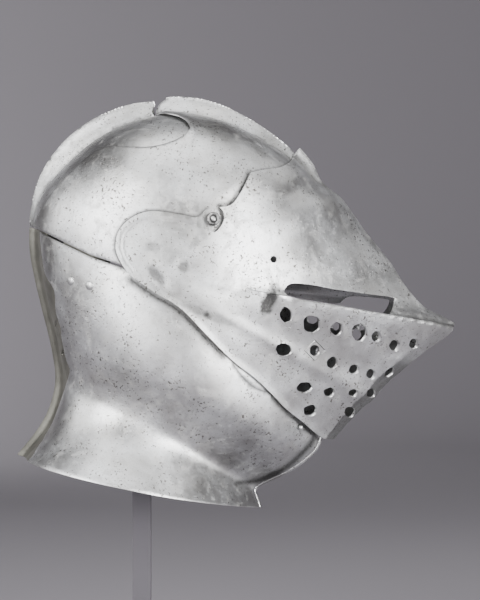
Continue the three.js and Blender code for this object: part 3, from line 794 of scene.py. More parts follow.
@dataclass
class Sheet:
    """A plate's mesh while it is made: its outside, its inside and its triangles, in millimetres."""

    outer: Array
    inner: Array
    triangles: Array

    @staticmethod
    def pressed(form: Form, flat: Array, triangles: Array, side: Side) -> "Sheet":
        """Presses a cut pattern onto a form, on one side.

        Args:
            form: the form.
            flat: points of the pattern.
            triangles: its triangles.
            side: which side of the helmet.

        Returns:
            The sheet.
        """
        outer, inner = form.place(flat), form.place(flat, inner=True)
        turn = np.array([1.0, side.value, 1.0])
        corners = outer[triangles]
        out = np.cross(corners[:, 1] - corners[:, 0], corners[:, 2] - corners[:, 0])
        if (out[:, 1].sum() < 0) == (side is Side.LEFT):
            triangles = triangles[:, ::-1]
        return Sheet(outer * turn, inner * turn, triangles)

    def joined(self, other: "Sheet", room: float = 1e-3) -> "Sheet":
        """Joins the other half along the median plane.

        Args:
            other: the other half.
            room: how far a point on the plane may lie off it.

        Returns:
            The whole sheet.
        """
        count = len(self.outer)
        seam = [i for i in range(count) if abs(self.outer[i, 1]) < room]
        at = {tuple(np.round(self.outer[i, [0, 2]], 3)): i for i in seam}
        index = np.arange(len(other.outer)) + count
        for j in range(len(other.outer)):
            if abs(other.outer[j, 1]) < room:
                index[j] = at.get(tuple(np.round(other.outer[j, [0, 2]], 3)), index[j])
        used, triangles = np.unique(np.vstack([self.triangles, index[other.triangles]]), return_inverse=True)
        return Sheet(np.vstack([self.outer, other.outer])[used], np.vstack([self.inner, other.inner])[used],
                     triangles.reshape(-1, 3))

    def shaped(self, relief: Callable[[Array, Array], Array]) -> "Sheet":
        """Moves the sheet along its normals.

        Args:
            relief: gives the height in millimetres from points and normals.

        Returns:
            The shaped sheet.
        """
        out = normals_of(self.outer, self.triangles)
        height = relief(self.outer, out)[:, None]
        return Sheet(self.outer + out * height, self.inner + out * height, self.triangles)

    def mesh(self, name: str, rim: float = 0.35, dark: float = 260.0,
             grime_and_shade: Optional[Callable[[Array], Array]] = None) -> bpy.types.Mesh:
        """Closes the sheet with a rounded rim and makes it a mesh in metres.

        Args:
            name: name of the mesh.
            rim: how far the rim rounds outwards, a share of the wall.
            dark: edges that run at least this far round, in millimetres, get the inside's unpolished finish
                on their rim, near black as painted shade.
            grime_and_shade: gives the stains and the painted shade in seams, gaps and creases, from 0 to 1,
                from points on the outside.

        Returns:
            The mesh, with its inside on the second material place.
        """
        tri, count = self.triangles, len(self.outer)
        directed = np.vstack([tri[:, [0, 1]], tri[:, [1, 2]], tri[:, [2, 0]]])
        known = {(a, b) for a, b in directed.tolist()}
        border = np.array([(a, b) for a, b in known if (b, a) not in known])
        border = border[np.lexsort((border[:, 1], border[:, 0]))]
        out = normals_of(self.outer, tri)
        run = self.outer[border[:, 1]] - self.outer[border[:, 0]]
        away = np.zeros_like(self.outer)
        for column in (0, 1):
            np.add.at(away, border[:, column], np.cross(run, out[border[:, column]]))
        unpolished_and_shaded = long_edges(border, self.outer, dark)
        ids = np.unique(border)
        away = away[ids] / np.maximum(np.linalg.norm(away[ids], axis=1, keepdims=True), 1e-12)
        top, low = self.outer[ids], self.inner[ids]
        middle, half = (top + low) / 2, (top - low) / 2
        wall = np.linalg.norm(top - low, axis=1, keepdims=True)
        rows = [middle + half * math.cos(a) + away * wall * rim * math.sin(a)
                for a in (math.pi * 0.25, math.pi * 0.5, math.pi * 0.75)]
        place = {int(v): i for i, v in enumerate(ids)}
        faces = tri.tolist() + (tri[:, ::-1] + count).tolist()
        inside_faces = [False] * len(tri) + [True] * len(tri)
        size = len(ids)
        for a, b in border.tolist():
            i, j = place[a], place[b]
            left = [a] + [2 * count + k * size + i for k in range(3)] + [a + count]
            right = [b] + [2 * count + k * size + j for k in range(3)] + [b + count]
            for k in range(4):
                faces.append([right[k], left[k], left[k + 1], right[k + 1]])
                inside_faces.append(k == 3 or (k > 0 and a in unpolished_and_shaded))
        mesh = bpy.data.meshes.new(name)
        points = np.vstack([self.outer, self.inner] + rows) * MM
        mesh.from_pydata(points.tolist(), [], faces)
        mesh.polygons.foreach_set("material_index", [int(f) for f in inside_faces])
        dirt_and_shade = np.zeros(len(points))
        if grime_and_shade:
            dirt_and_shade[:count] = np.clip(grime_and_shade(self.outer), 0, 1)
        mesh.attributes.new("grime_and_shade", "FLOAT", "POINT").data.foreach_set("value", dirt_and_shade)
        mesh.polygons.foreach_set("use_smooth", [True] * len(mesh.polygons))
        mesh.set_sharp_from_angle(angle=SHARP)
        mesh.update()
        return mesh


# Finishes

SocketLike = Union["Value", float, int]


class Value:
    """A node's output, so that shader maths reads as arithmetic."""

    def __init__(self, finish: "Nodes", socket: bpy.types.NodeSocket) -> None:
        """Wraps a socket of a finish's node tree."""
        self.finish, self.socket = finish, socket

    def _math(self, operation: str, *others: SocketLike) -> "Value":
        """Adds a Math node that starts with this value."""
        return self.finish.add("ShaderNodeMath", {"operation": operation}, dict(enumerate((self, *others))))

    def __add__(self, other: SocketLike) -> "Value":
        """Sum."""
        return self._math("ADD", other)

    def __mul__(self, other: SocketLike) -> "Value":
        """Product."""
        return self._math("MULTIPLY", other)

    def __rsub__(self, other: float) -> "Value":
        """A number less this value."""
        return self.finish.add("ShaderNodeMath", {"operation": "SUBTRACT"}, {0: other, 1: self})

    __radd__ = __add__
    __rmul__ = __mul__

    def clamped(self) -> "Value":
        """This value kept between 0 and 1."""
        return self.finish.add("ShaderNodeClamp", {}, {"Value": self})

    def larger(self, other: SocketLike) -> "Value":
        """The larger of two values."""
        return self._math("MAXIMUM", other)


class Nodes:
    """A material's node tree."""

    def __init__(self, name: str) -> None:
        """Starts a material with its shader and Object coordinates in millimetres.

        Args:
            name: the material's name.
        """
        self.material = bpy.data.materials.new(name)
        self.material.use_nodes = True
        self.tree = self.material.node_tree
        self.tree.nodes.clear()
        self.output = self.tree.nodes.new("ShaderNodeOutputMaterial")
        self.shader = self.tree.nodes.new("ShaderNodeBsdfPrincipled")
        self.tree.links.new(self.shader.outputs[0], self.output.inputs[0])
        coordinates = self.add("ShaderNodeTexCoord", {}, {}, "Object")
        self.place = self.add("ShaderNodeVectorMath", {"operation": "SCALE"},
                              {"Vector": coordinates, "Scale": 1 / MM})

    def add(self, kind: str, settings: dict, values: dict, output: Union[str, int] = 0) -> Value:
        """Adds a node.

        Args:
            kind: its type.
            settings: its properties, set first.
            values: numbers or links for its sockets, by name or number.
            output: the output to give back.

        Returns:
            The output.
        """
        node = self.tree.nodes.new(kind)
        for key, value in settings.items():
            setattr(node, key, value)
        for key, value in values.items():
            if isinstance(value, Value):
                self.tree.links.new(value.socket, node.inputs[key])
            else:
                node.inputs[key].default_value = value
        return Value(self, node.outputs[output])

    def noise(self, size: float, detail: float = 3, rough: float = 0.55, stretch: Sequence[float] = (1, 1, 1),
              distortion: float = 0.0) -> Value:
        """Noise over the piece.

        Args:
            size: width of a patch in millimetres.
            detail: layers of finer noise.
            rough: strength of the finer layers.
            stretch: scale along each axis.
            distortion: how much it is twisted.

        Returns:
            A value from 0 to 1.
        """
        place = self.place
        if tuple(stretch) != (1, 1, 1):
            place = self.add("ShaderNodeMapping", {}, {"Vector": place, "Scale": stretch})
        return self.add("ShaderNodeTexNoise", {}, {
            "Vector": place, "Scale": 1 / size, "Detail": detail, "Roughness": rough,
            "Distortion": distortion})

    def ramp(self, value: Value, low: float, high: float) -> Value:
        """Maps low..high to 0..1, kept in range."""
        return self.add("ShaderNodeMapRange", {}, {"Value": value, 1: low, 2: high, 3: 0.0, 4: 1.0})

    def mixed(self, factor: SocketLike, first: object, second: object) -> Value:
        """Mixes two colours.

        Args:
            factor: the share of the second.
            first: a colour, or a value that gives one.
            second: the same.

        Returns:
            The mix.
        """
        def full(colour: object) -> object:
            """A colour with its fourth number."""
            return colour if isinstance(colour, Value) else (*colour, 1)
        return self.add("ShaderNodeMix", {"data_type": "RGBA", "blend_type": "MIX"},
                        {0: factor, 6: full(first), 7: full(second)}, 2)

    def finish(self, **inputs: object) -> bpy.types.Material:
        """Feeds the shader.

        Args:
            inputs: its sockets' values, by name; bump is a list of heights and distances in millimetres.

        Returns:
            The material.
        """
        normal = None
        for height, distance in inputs.pop("bump", []):
            values = {"Height": height, "Distance": distance * MM, "Strength": 1.0}
            if normal is not None:
                values["Normal"] = normal
            normal = self.add("ShaderNodeBump", {}, values)
        if normal is not None:
            inputs["Normal"] = normal
        for key, value in inputs.items():
            socket = self.shader.inputs[key.replace("_", " ")]
            if isinstance(value, Value):
                self.tree.links.new(value.socket, socket)
            else:
                socket.default_value = value
        return self.material


@dataclass(frozen=True)
class PolishedSteel:
    """Old polished steel with faint hammer marks, pits, scratches and stains; the grime attribute darkens and
    roughens it with further stains and with painted shade.
    """

    name: str = "polished_steel"
    light: tuple[float, float, float] = (0.70, 0.713, 0.724)
    dark: tuple[float, float, float] = (0.50, 0.495, 0.48)
    roughness: float = 0.27

    def material(self) -> bpy.types.Material:
        """Builds the material.

        Returns:
            What it built.
        """
        n = Nodes(self.name)
        patches = n.noise(38, 4, 0.6)
        stain = n.ramp(n.noise(11, 5, 0.65, distortion=0.6), 0.52, 0.72)
        fine = n.noise(1.6, 3, 0.6)
        pits = n.ramp(n.noise(1.9, 2, 0.5) + 0.34 * n.noise(24, 3, 0.6), 0.805, 0.86)
        scratch = n.ramp(n.noise(1.2, 2, 0.5, (0.06, 0.5, 1.3), 0.4), 0.62, 0.72)
        cross = n.ramp(n.noise(1.0, 2, 0.5, (1.2, 0.5, 0.08), 0.4), 0.64, 0.74)
        colour = n.mixed(n.ramp(patches, 0.3, 0.7), self.dark, self.light)
        mottle = n.ramp(n.noise(6, 4, 0.65, distortion=0.8), 0.46, 0.7)
        colour = n.mixed(stain * 0.4, colour, (0.36, 0.345, 0.32))
        colour = n.mixed(mottle * 0.3, colour, (0.33, 0.325, 0.32))
        specks = n.ramp(n.noise(1.1, 3, 0.6), 0.54, 0.72)
        colour = n.mixed(specks * 0.45, colour, (0.27, 0.265, 0.26))
        colour = n.mixed(pits * 0.9, colour, (0.09, 0.08, 0.07))
        # Painted shade: the grime attribute darkens the colour in seams, gaps, creases and hollows, besides
        # real stains.
        grime_and_shade = n.add("ShaderNodeAttribute", {"attribute_name": "grime_and_shade"}, {}, "Fac")
        colour = n.mixed((grime_and_shade * (0.75 + 0.5 * fine)).clamped(), colour, (0.062, 0.061, 0.06))
        rough = self.roughness + 0.16 * n.ramp(patches, 0.35, 0.75) + 0.08 * fine + 0.2 * stain
        rough += 0.12 * (scratch + cross) + 0.2 * grime_and_shade
        return n.finish(Base_Color=colour, Metallic=1.0, Roughness=rough.clamped(),
                        bump=[(n.noise(17, 2, 0.5), 0.13), (fine, 0.025), (1 - pits, 0.06),
                              (1 - scratch.larger(cross), 0.02)])


@dataclass(frozen=True)
class DullSteel:
    """Unpolished steel: the inside of the plates, or the dark nape."""

    name: str
    colour: tuple[float, float, float]
    second: tuple[float, float, float]
    roughness: float = 0.6

    def material(self) -> bpy.types.Material:
        """Builds the material.

        Returns:
            What it built.
        """
        n = Nodes(self.name)
        patches = n.noise(14, 5, 0.65)
        grain = n.noise(1.8, 3, 0.6)
        colour = n.mixed(n.ramp(patches, 0.3, 0.7), self.colour, self.second)
        rough = self.roughness + 0.2 * patches
        return n.finish(Base_Color=colour, Metallic=0.85, Roughness=rough.clamped(), bump=[(grain, 0.08)])


@dataclass(frozen=True)
class PostPaint:
    """Matt dark paint of the stand."""

    name: str = "stand_paint"
    colour: tuple[float, float, float] = (0.058, 0.053, 0.062)

    def material(self) -> bpy.types.Material:
        """Builds the material.

        Returns:
            What it built.
        """
        n = Nodes(self.name)
        wear = n.ramp(n.noise(9, 4, 0.6), 0.4, 0.7)
        colour = n.mixed(wear * 0.4, self.colour, (0.08, 0.074, 0.085))
        return n.finish(Base_Color=colour, Metallic=0.0, Roughness=0.65 + 0.15 * wear,
                        bump=[(n.noise(0.9, 2), 0.03)])


@dataclass(frozen=True)
class Plain:
    """A plain even finish for the floor and sweep."""

    name: str
    colour: tuple[float, float, float]

    def material(self) -> bpy.types.Material:
        """Builds the material."""
        n = Nodes(self.name)
        return n.finish(Base_Color=(*self.colour, 1), Roughness=0.85)


# Tables

# Side outline of the skull: x, z, height of the rear comb and of the front comb as shares of the tallest
BOWL = [
    [0.226, 0.016, 0, 0], [0.204, 0.085, 0, 0.2], [0.166, 0.152, 0, 0.46], [0.125, 0.182, 0, 0.64],
    [0.084, 0.208, 0, 0.72], [0.037, 0.232, 0, 0.8], [-0.001, 0.246, 0, 0.92], [-0.053, 0.257, 0, 1],
    [-0.117, 0.258, 0, 1], [-0.136, 0.2562, 0, 1], [-0.139, 0.2556, 0.76, 1], [-0.143, 0.2547, 0.77, 1],
    [-0.181, 0.246, 0.88, 0.9],
    [-0.236, 0.222, 0.94, 0], [-0.28, 0.193, 1, 0], [-0.32, 0.158, 0.95, 0], [-0.358, 0.118, 0.76, 0],
    [-0.386, 0.079, 0.54, 0], [-0.406, 0.035, 0.32, 0], [-0.414, -0.013, 0.22, 0], [-0.412, -0.067, 0.18, 0],
    [-0.397, -0.126, 0.15, 0], [-0.295, -0.269, 0, 0], [-0.117, -0.345, 0, 0], [0.077, -0.315, 0, 0],
    [0.197, -0.209, 0, 0], [0.237, -0.074, 0, 0],
]
COMB_END = ((-0.136, 0.2562), (-0.139, 0.2556))
# The places that the bowl's and the visor's sections start from
SKULL_POLE = (-0.117, -0.04)
VISOR_POLE = (-0.146, -0.1217)
# Hammer marks of the plates: height and size in millimetres, seed
BOWL_MARKS = ((0.3, 34, 3.1), (0.1, 12, 8.7))
COVER_MARKS = ((0.32, 30, 5.3), (0.1, 11, 1.9))
CHEEK_MARKS = ((0.4, 32, 2.2), (0.12, 12, 4.4))
NAPE_MARKS = ((0.2, 24, 6.2),)
VISOR_MARKS = ((0.34, 30, 9.4), (0.12, 11, 2.7))
# Side outline of the visor: x, z, full, keel, ridge, ledge, foot, blunt
VISOR = [
    [0.05, 0.272, 2.6, 0.44, 1, 0, 7, 0], [0.134, 0.218, 2.6, 0.43, 1, 0, 7, 0],
    [0.181, 0.165, 2.6, 0.44, 1, 0, 7, 0], [0.2118, 0.1295, 2.7, 0.49, 0.85, 0, 7.5, 0],
    [0.2316, 0.0994, 2.8, 0.55, 0.55, 0, 8.5, 0], [0.2543, 0.0846, 2.8, 0.62, 0.2, 0, 9.5, 0],
    [0.286, 0.063, 2.75, 0.7, 0.02, 0, 10, 0], [0.343, -0.019, 2.55, 0.84, 0, 0, 9, 0],
    [0.397, -0.089, 2.38, 0.93, 0, 0, 6, 0], [0.436, -0.151, 2.25, 0.98, 0, 0, 5, 0],
    [0.482, -0.204, 2.12, 1, 0, 0, 4, 0], [0.515, -0.222, 2.05, 1, 0, 0, 4, 0],
    [0.538, -0.235, 2, 1, 0, 0, 3, 0], [0.5483, -0.2428, 2, 1, 0, 0, 3, 0],
    [0.5474, -0.2472, 2, 1, 0, 1, 4, 0], [0.541, -0.262, 2, 1, 0, 1, 5, 0],
    [0.482, -0.308, 2.1, 1, 0, 0.7, 11, 0.3], [0.448, -0.337, 2.2, 1, 0, 0.35, 15, 0.4],
    [0.394, -0.386, 2.32, 1, 0, 0, 18, 0.42], [0.361, -0.426, 2.33, 0.98, 0, 0, 18, 0.42],
    [0.337, -0.445, 2.33, 0.97, 0, 0, 17, 0.42], [0.277, -0.514, 2.32, 0.95, 0, 0, 14, 0.42],
    [0.24, -0.56, 2.3, 0.92, 0, 0, 12, 0.4], [0.134, -0.661, 2.5, 0.8, 0, 0, 11, 0.2],
    [-0.037, -0.721, 2.7, 0.6, 0, 0, 11, 0], [-0.209, -0.691, 2.8, 0.5, 0, 0, 11, 0],
    [-0.352, -0.54, 2.8, 0.5, 0, 0, 11, 0], [-0.423, -0.299, 2.8, 0.46, 0, 0, 11, 0],
    [-0.432, -0.043, 2.8, 0.46, 0, 0, 11, 0], [-0.38, 0.137, 2.8, 0.46, 0, 0, 11, 0],
    [-0.252, 0.258, 2.7, 0.46, 0, 0, 11, 0], [-0.095, 0.285, 2.6, 0.46, 0.6, 0, 9, 0],
]
LEDGE_EDGES = ((0.5483, -0.2428), (0.5474, -0.2472))
# Places that bound the facet along the beak's lower edge, which carries a painted dark reflection
FACET = ((0.47, -0.316), (0.2, -0.6))
# Rows of the jaw and collar: rear x, rear z, front x, front z, width, bow
JAW = [
    [-0.406, 0.017, 0.254, -0.089, 0.965, 0], [-0.407, -0.064, 0.277, -0.209, 0.99, 0],
    [-0.396, -0.137, 0.28, -0.336, 1.0, 0], [-0.381, -0.206, 0.266, -0.426, 0.985, 0],
    [-0.366, -0.269, 0.243, -0.531, 0.935, 0.01], [-0.356, -0.32, 0.214, -0.57, 0.87, 0.02],
    [-0.35, -0.362, 0.168, -0.604, 0.805, 0.028], [-0.35, -0.393, 0.111, -0.632, 0.765, 0.028],
    [-0.354, -0.42, 0.098, -0.643, 0.775, 0.024], [-0.367, -0.462, 0.1, -0.656, 0.84, 0.014],
    [-0.39, -0.504, 0.104, -0.67, 0.93, 0.006], [-0.434, -0.56, 0.108, -0.6843, 1.05, 0],
]
SEAM = [[-0.5, 0.03], [-0.398, -0.015], [-0.27, -0.08], [-0.194, -0.107], [-0.12, -0.14]]
SKULL_FACE = [[-0.05, -0.13], [-0.03, -0.06], [0.02, -0.02], [0.077, 0.035], [0.134, 0.066], [0.3, 0.075]]
REINFORCE_BACK = [
    [-0.408, -0.01], [-0.379, 0.037], [-0.348, 0.081], [-0.316, 0.115], [-0.278, 0.15], [-0.253, 0.169],
]
OVAL = [
    [-0.221, 0.173], [-0.177, 0.169], [-0.139, 0.169], [-0.101, 0.178], [-0.07, 0.193], [-0.052, 0.209],
    [-0.057, 0.227], [-0.076, 0.243], [-0.104, 0.253], [-0.13, 0.265], [-0.125, 0.285], [-0.109, 0.298],
]
# The part of the smooth oval that has the raised lip
OVAL_LIP = slice(30, 50)
# Upper and rear edge of the visor, and its corner's place in the list
VISOR_CORNER = 5
VISOR_TOP = [
    [0.26, 0.25], [0.195, 0.182], [0.177, 0.148], [0.151, 0.126], [0.116, 0.118], [0.082, 0.109],
    [0.06, 0.062], [0.038, 0.032], [0.012, 0.026],
]
LOBE = [
    [-0.014, 0.022], [-0.035, 0.003], [-0.068, 0.008], [-0.104, 0.014], [-0.137, 0.016], [-0.165, 0.008],
    [-0.19, -0.01], [-0.205, -0.031], [-0.21, -0.053], [-0.209, -0.076], [-0.192, -0.112], [-0.174, -0.133],
]
VISOR_BOTTOM = [
    [-0.122, -0.171], [-0.072, -0.203], [-0.016, -0.263], [0.042, -0.325], [0.092, -0.367], [0.127, -0.403],
    [0.16, -0.44], [0.199, -0.474], [0.243, -0.513], [0.272, -0.52], [0.6, -0.5],
]
CHEEK_BACK = [
    [-0.392, -0.026], [-0.384, -0.086], [-0.377, -0.124], [-0.354, -0.163], [-0.352, -0.213],
    [-0.341, -0.252], [-0.339, -0.277], [-0.329, -0.329], [-0.322, -0.35], [-0.333, -0.386],
    [-0.344, -0.417], [-0.366, -0.475], [-0.384, -0.51], [-0.411, -0.558],
]
CHEEK_FACE = [[0.5, -0.53], [0.23, -0.5], [0.13, -0.36], [0.03, -0.25], [-0.06, -0.17]]
# Breaths: x, z, width and height in millimetres, slant in degrees
BREATHS = [
    [0.158, -0.219, 7.7, 9.2, 10], [0.215, -0.24, 10.4, 11.2, 0], [0.271, -0.252, 7.6, 7.8, 0],
    [0.322, -0.262, 9.9, 10.6, 15], [0.362, -0.271, 5.8, 7.0, 0], [0.406, -0.293, 7.2, 7.0, 30],
    [0.451, -0.289, 6.4, 6.4, 30], [0.153, -0.3, 9.8, 8.2, -10], [0.263, -0.333, 7.3, 7.3, 0],
    [0.313, -0.349, 7.0, 6.2, 0], [0.353, -0.361, 6.1, 6.8, 20], [0.397, -0.358, 7.4, 5.0, 40],
    [0.201, -0.39, 9.9, 6.8, 5], [0.258, -0.403, 7.4, 5.9, 0], [0.313, -0.406, 6.2, 5.0, 0],
    [0.355, -0.408, 6.0, 6.6, 35], [0.215, -0.446, 8.4, 7.3, 0], [0.307, -0.453, 7.0, 7.6, 40],
]
SIGHT = [
    [0.154, -0.166], [0.157, -0.157], [0.168, -0.148], [0.213, -0.15], [0.259, -0.159], [0.293, -0.164],
    [0.352, -0.1725], [0.41, -0.181], [0.412, -0.184], [0.398, -0.2185], [0.392, -0.2195], [0.327, -0.2078],
    [0.282, -0.1997], [0.248, -0.1935], [0.195, -0.184], [0.168, -0.178],
]
# The left side's sight, narrow at the rear, where the photograph shows a dark inside behind the right side's
FAR_SIGHT = [
    [0.166, -0.1765], [0.17, -0.172], [0.2, -0.1795], [0.25, -0.1885], [0.292, -0.1935], [0.302, -0.184],
    [0.312, -0.1772], [0.352, -0.1772], [0.405, -0.1842], [0.409, -0.187], [0.398, -0.2185], [0.392, -0.2195],
    [0.327, -0.2078], [0.282, -0.1997], [0.248, -0.1935], [0.195, -0.184], [0.172, -0.1795],
]
# Dents in the visor: place, width and height in millimetres, slant in degrees, depth
VISOR_DENTS = [
    ([0.121, -0.192], 9, 17, -25, 1.6), ([-0.133, -0.063], 11, 10, 0, 0.7),
    ([-0.118, -0.138], 9, 18, 42, 1.2), ([-0.062, -0.109], 9, 8, -20, 0.8),
]
# Dull blue-grey patches on the visor: place, width and height in millimetres, slant in degrees, strength
VISOR_STAINS = [
    ([-0.13, -0.066], 16, 11, 0, 0.55), ([-0.122, -0.131], 11, 24, 42, 0.75),
    ([-0.063, -0.11], 12, 11, -20, 0.7), ([-0.088, -0.088], 7, 18, -20, 0.45),
    ([-0.037, -0.208], 30, 9, -25, 0.6), ([0.014, -0.23], 32, 8, -20, 0.45),
    ([0.122, -0.187], 13, 23, -28, 1.0), ([0.112, -0.208], 10, 14, -30, 0.7),
    ([-0.08, -0.028], 40, 30, 0, 0.22), ([0.135, -0.157], 9, 12, 30, 0.45), ([0.444, -0.2], 24, 9, -25, 0.35),
]
ROUND_HOLE = [0.131, -0.092]
PATCH = [0.223, -0.303]
PIVOT_HOLE = [
    [-0.036, -0.012], [-0.034, 0.006], [-0.02, 0.015], [-0.012, 0.024], [0.006, 0.028], [0.018, 0.022],
    [0.024, 0.004], [0.018, -0.014], [0.004, -0.03], [-0.012, -0.025], [-0.036, -0.018],
]
RIVETS = [[-0.314, -0.141], [-0.27, -0.152]]
CATCH = [0.191, -0.486]
# Dull patches on the cheek plates: place, width and height in millimetres, slant in degrees, strength
CHEEK_STAINS = [
    ([-0.2, -0.33], 26, 40, 20, 0.3), ([-0.083, -0.557], 24, 18, 20, 0.4), ([0.02, -0.56], 44, 13, -28, 0.3),
    ([0.12, -0.6], 30, 12, -25, 0.3), ([-0.25, -0.27], 18, 22, 0, 0.15), ([0.175, -0.49], 22, 12, -30, 0.25),
]
# Line of the dark hollow along the chin's lower edge
CHIN_SHADE = [[0.05, -0.62], [0.1, -0.618], [0.135, -0.603], [0.17, -0.58], [0.2, -0.55], [0.222, -0.523]]
# Edge of the lens-shaped notch on the cheek plates
LENS = [[0.042, -0.3335], [0.062, -0.3615], [0.0806, -0.381], [0.0967, -0.392], [0.127, -0.4034]]
# How far the left side's breaths lie off the right side's in millimetres, where seen through the right ones
BREATH_SHIFT = {1: (6.2, 2.8), 2: (5.6, 0.3), 3: (3.9, -3.2)}
NAPE_HOLES = [[-0.357, -0.241], [-0.341, -0.308]]


# Pieces

def piece(name: str, mesh: bpy.types.Mesh, materials: Sequence[bpy.types.Material], body: Body, slot: Slot,
          *nodes: str) -> bpy.types.Object:
    """Adds a finished mesh to the scene as a piece.

    Args:
        name: the piece's name.
        mesh: its mesh, in place and in metres.
        materials: its finishes.
        body: the body it rides on.
        slot: the record's material slot; not used.
        nodes: the solids it stands for.

    Returns:
        The object.
    """
    mesh.materials.clear()
    for material in materials:
        mesh.materials.append(material)
    item = bpy.data.objects.new(name, mesh)
    bpy.context.scene.collection.objects.link(item)
    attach(item, body.value)
    if nodes:
        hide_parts(*nodes)
    log.info("%s: %d faces", name, len(mesh.polygons))
    return item


def ragged(middle: Sequence[float], wide: float, tall: float, slant: float, seed: int, rough: float = 0.08,
           count: int = 22) -> Array:
    """A hole punched by hand, in side view.

    Args:
        middle: its middle as shares.
        wide: width in millimetres.
        tall: height in millimetres.
        slant: turn in degrees.
        seed: which of the uneven shapes.
        rough: how uneven it is.
        count: corners.

    Returns:
        The outline in millimetres.
    """
    angle = np.linspace(0, 2 * math.pi, count, endpoint=False)
    waves, stride = 1.7, 7.3
    places = [Vector((math.cos(a) * waves, math.sin(a) * waves, seed * stride)) for a in angle]
    swell = np.array([1 + rough * (2 * noise.noise(place)) for place in places])
    x, z = wide / 2 * np.cos(angle) * swell, tall / 2 * np.sin(angle) * swell
    turn = math.radians(slant)
    across, up = x * math.cos(turn) - z * math.sin(turn), x * math.sin(turn) + z * math.cos(turn)
    return spot(middle) + np.column_stack([across, up])


def hammered(points: Array, size: float, seed: float) -> Array:
    """Uneven height left by the hammer, from about -1 to 1, at points in millimetres."""
    return np.array([noise.noise(Vector(p) / size + Vector((seed, 0, 0))) for p in points])


def marks(points: Array, *layers: tuple[float, float, float]) -> Array:
    """Adds up hammer marks.

    Args:
        points: points in millimetres.
        layers: for each its height and size in millimetres and its seed.

    Returns:
        The height at each point.
    """
    return sum(height * hammered(points, size, seed) for height, size, seed in layers)


def fading(gap: Array, half: float) -> Array:
    """Gives 1 where the gap is 0, falling to 0 beyond the half width."""
    return np.exp(-(gap / half) ** 2)


def bump_at(points: Array, middle: Sequence[float], wide: float, tall: float, slant: float = 0.0) -> Array:
    """A soft round swelling in side view.

    Args:
        points: points in space.
        middle: x and z of its middle in millimetres.
        wide: width in millimetres.
        tall: height in millimetres.
        slant: turn in degrees.

    Returns:
        1 in the middle, falling to 0.
    """
    turn = math.radians(slant)
    x, z = points[:, 0] - middle[0], points[:, 2] - middle[1]
    u = (x * math.cos(turn) + z * math.sin(turn)) / (wide / 2)
    v = (z * math.cos(turn) - x * math.sin(turn)) / (tall / 2)
    return np.exp(-1.5 * (u * u + v * v))


def lines_of_painted_shade(points: Array, *lines: tuple[Array, float, float]) -> Array:
    """Painted shade along lines in side view.

    Args:
        points: points in space.
        lines: for each its points, its half width in millimetres and its strength.

    Returns:
        The painted shade, from 0 to 1.
    """
    result = np.zeros(len(points))
    for line, half, strength in lines:
        gap, _ = distance_to(points[:, [0, 2]], line)
        result = np.maximum(result, strength * fading(gap, half))
    return result


def comb_tone(form: Bulge, points: Array, strength: float) -> Array:
    """Makes a comb darker and rougher than the rest of its plate, unevenly.

    Args:
        form: the plate's form.
        points: points in millimetres.
        strength: how much darker, from 0 to 1.

    Returns:
        How much darker each point is.
    """
    past = form.past_foot(form.flat(points[:, [0, 2]])) > 0
    high = points[:, 2] > spot([0, 0.05])[1]
    return past * high * (strength + 0.5 * strength * hammered(points, 7, 5.5))


@dataclass
class Helm:
    """The finishes that the plates share."""

    steel: bpy.types.Material
    inside: bpy.types.Material
    dull: bpy.types.Material


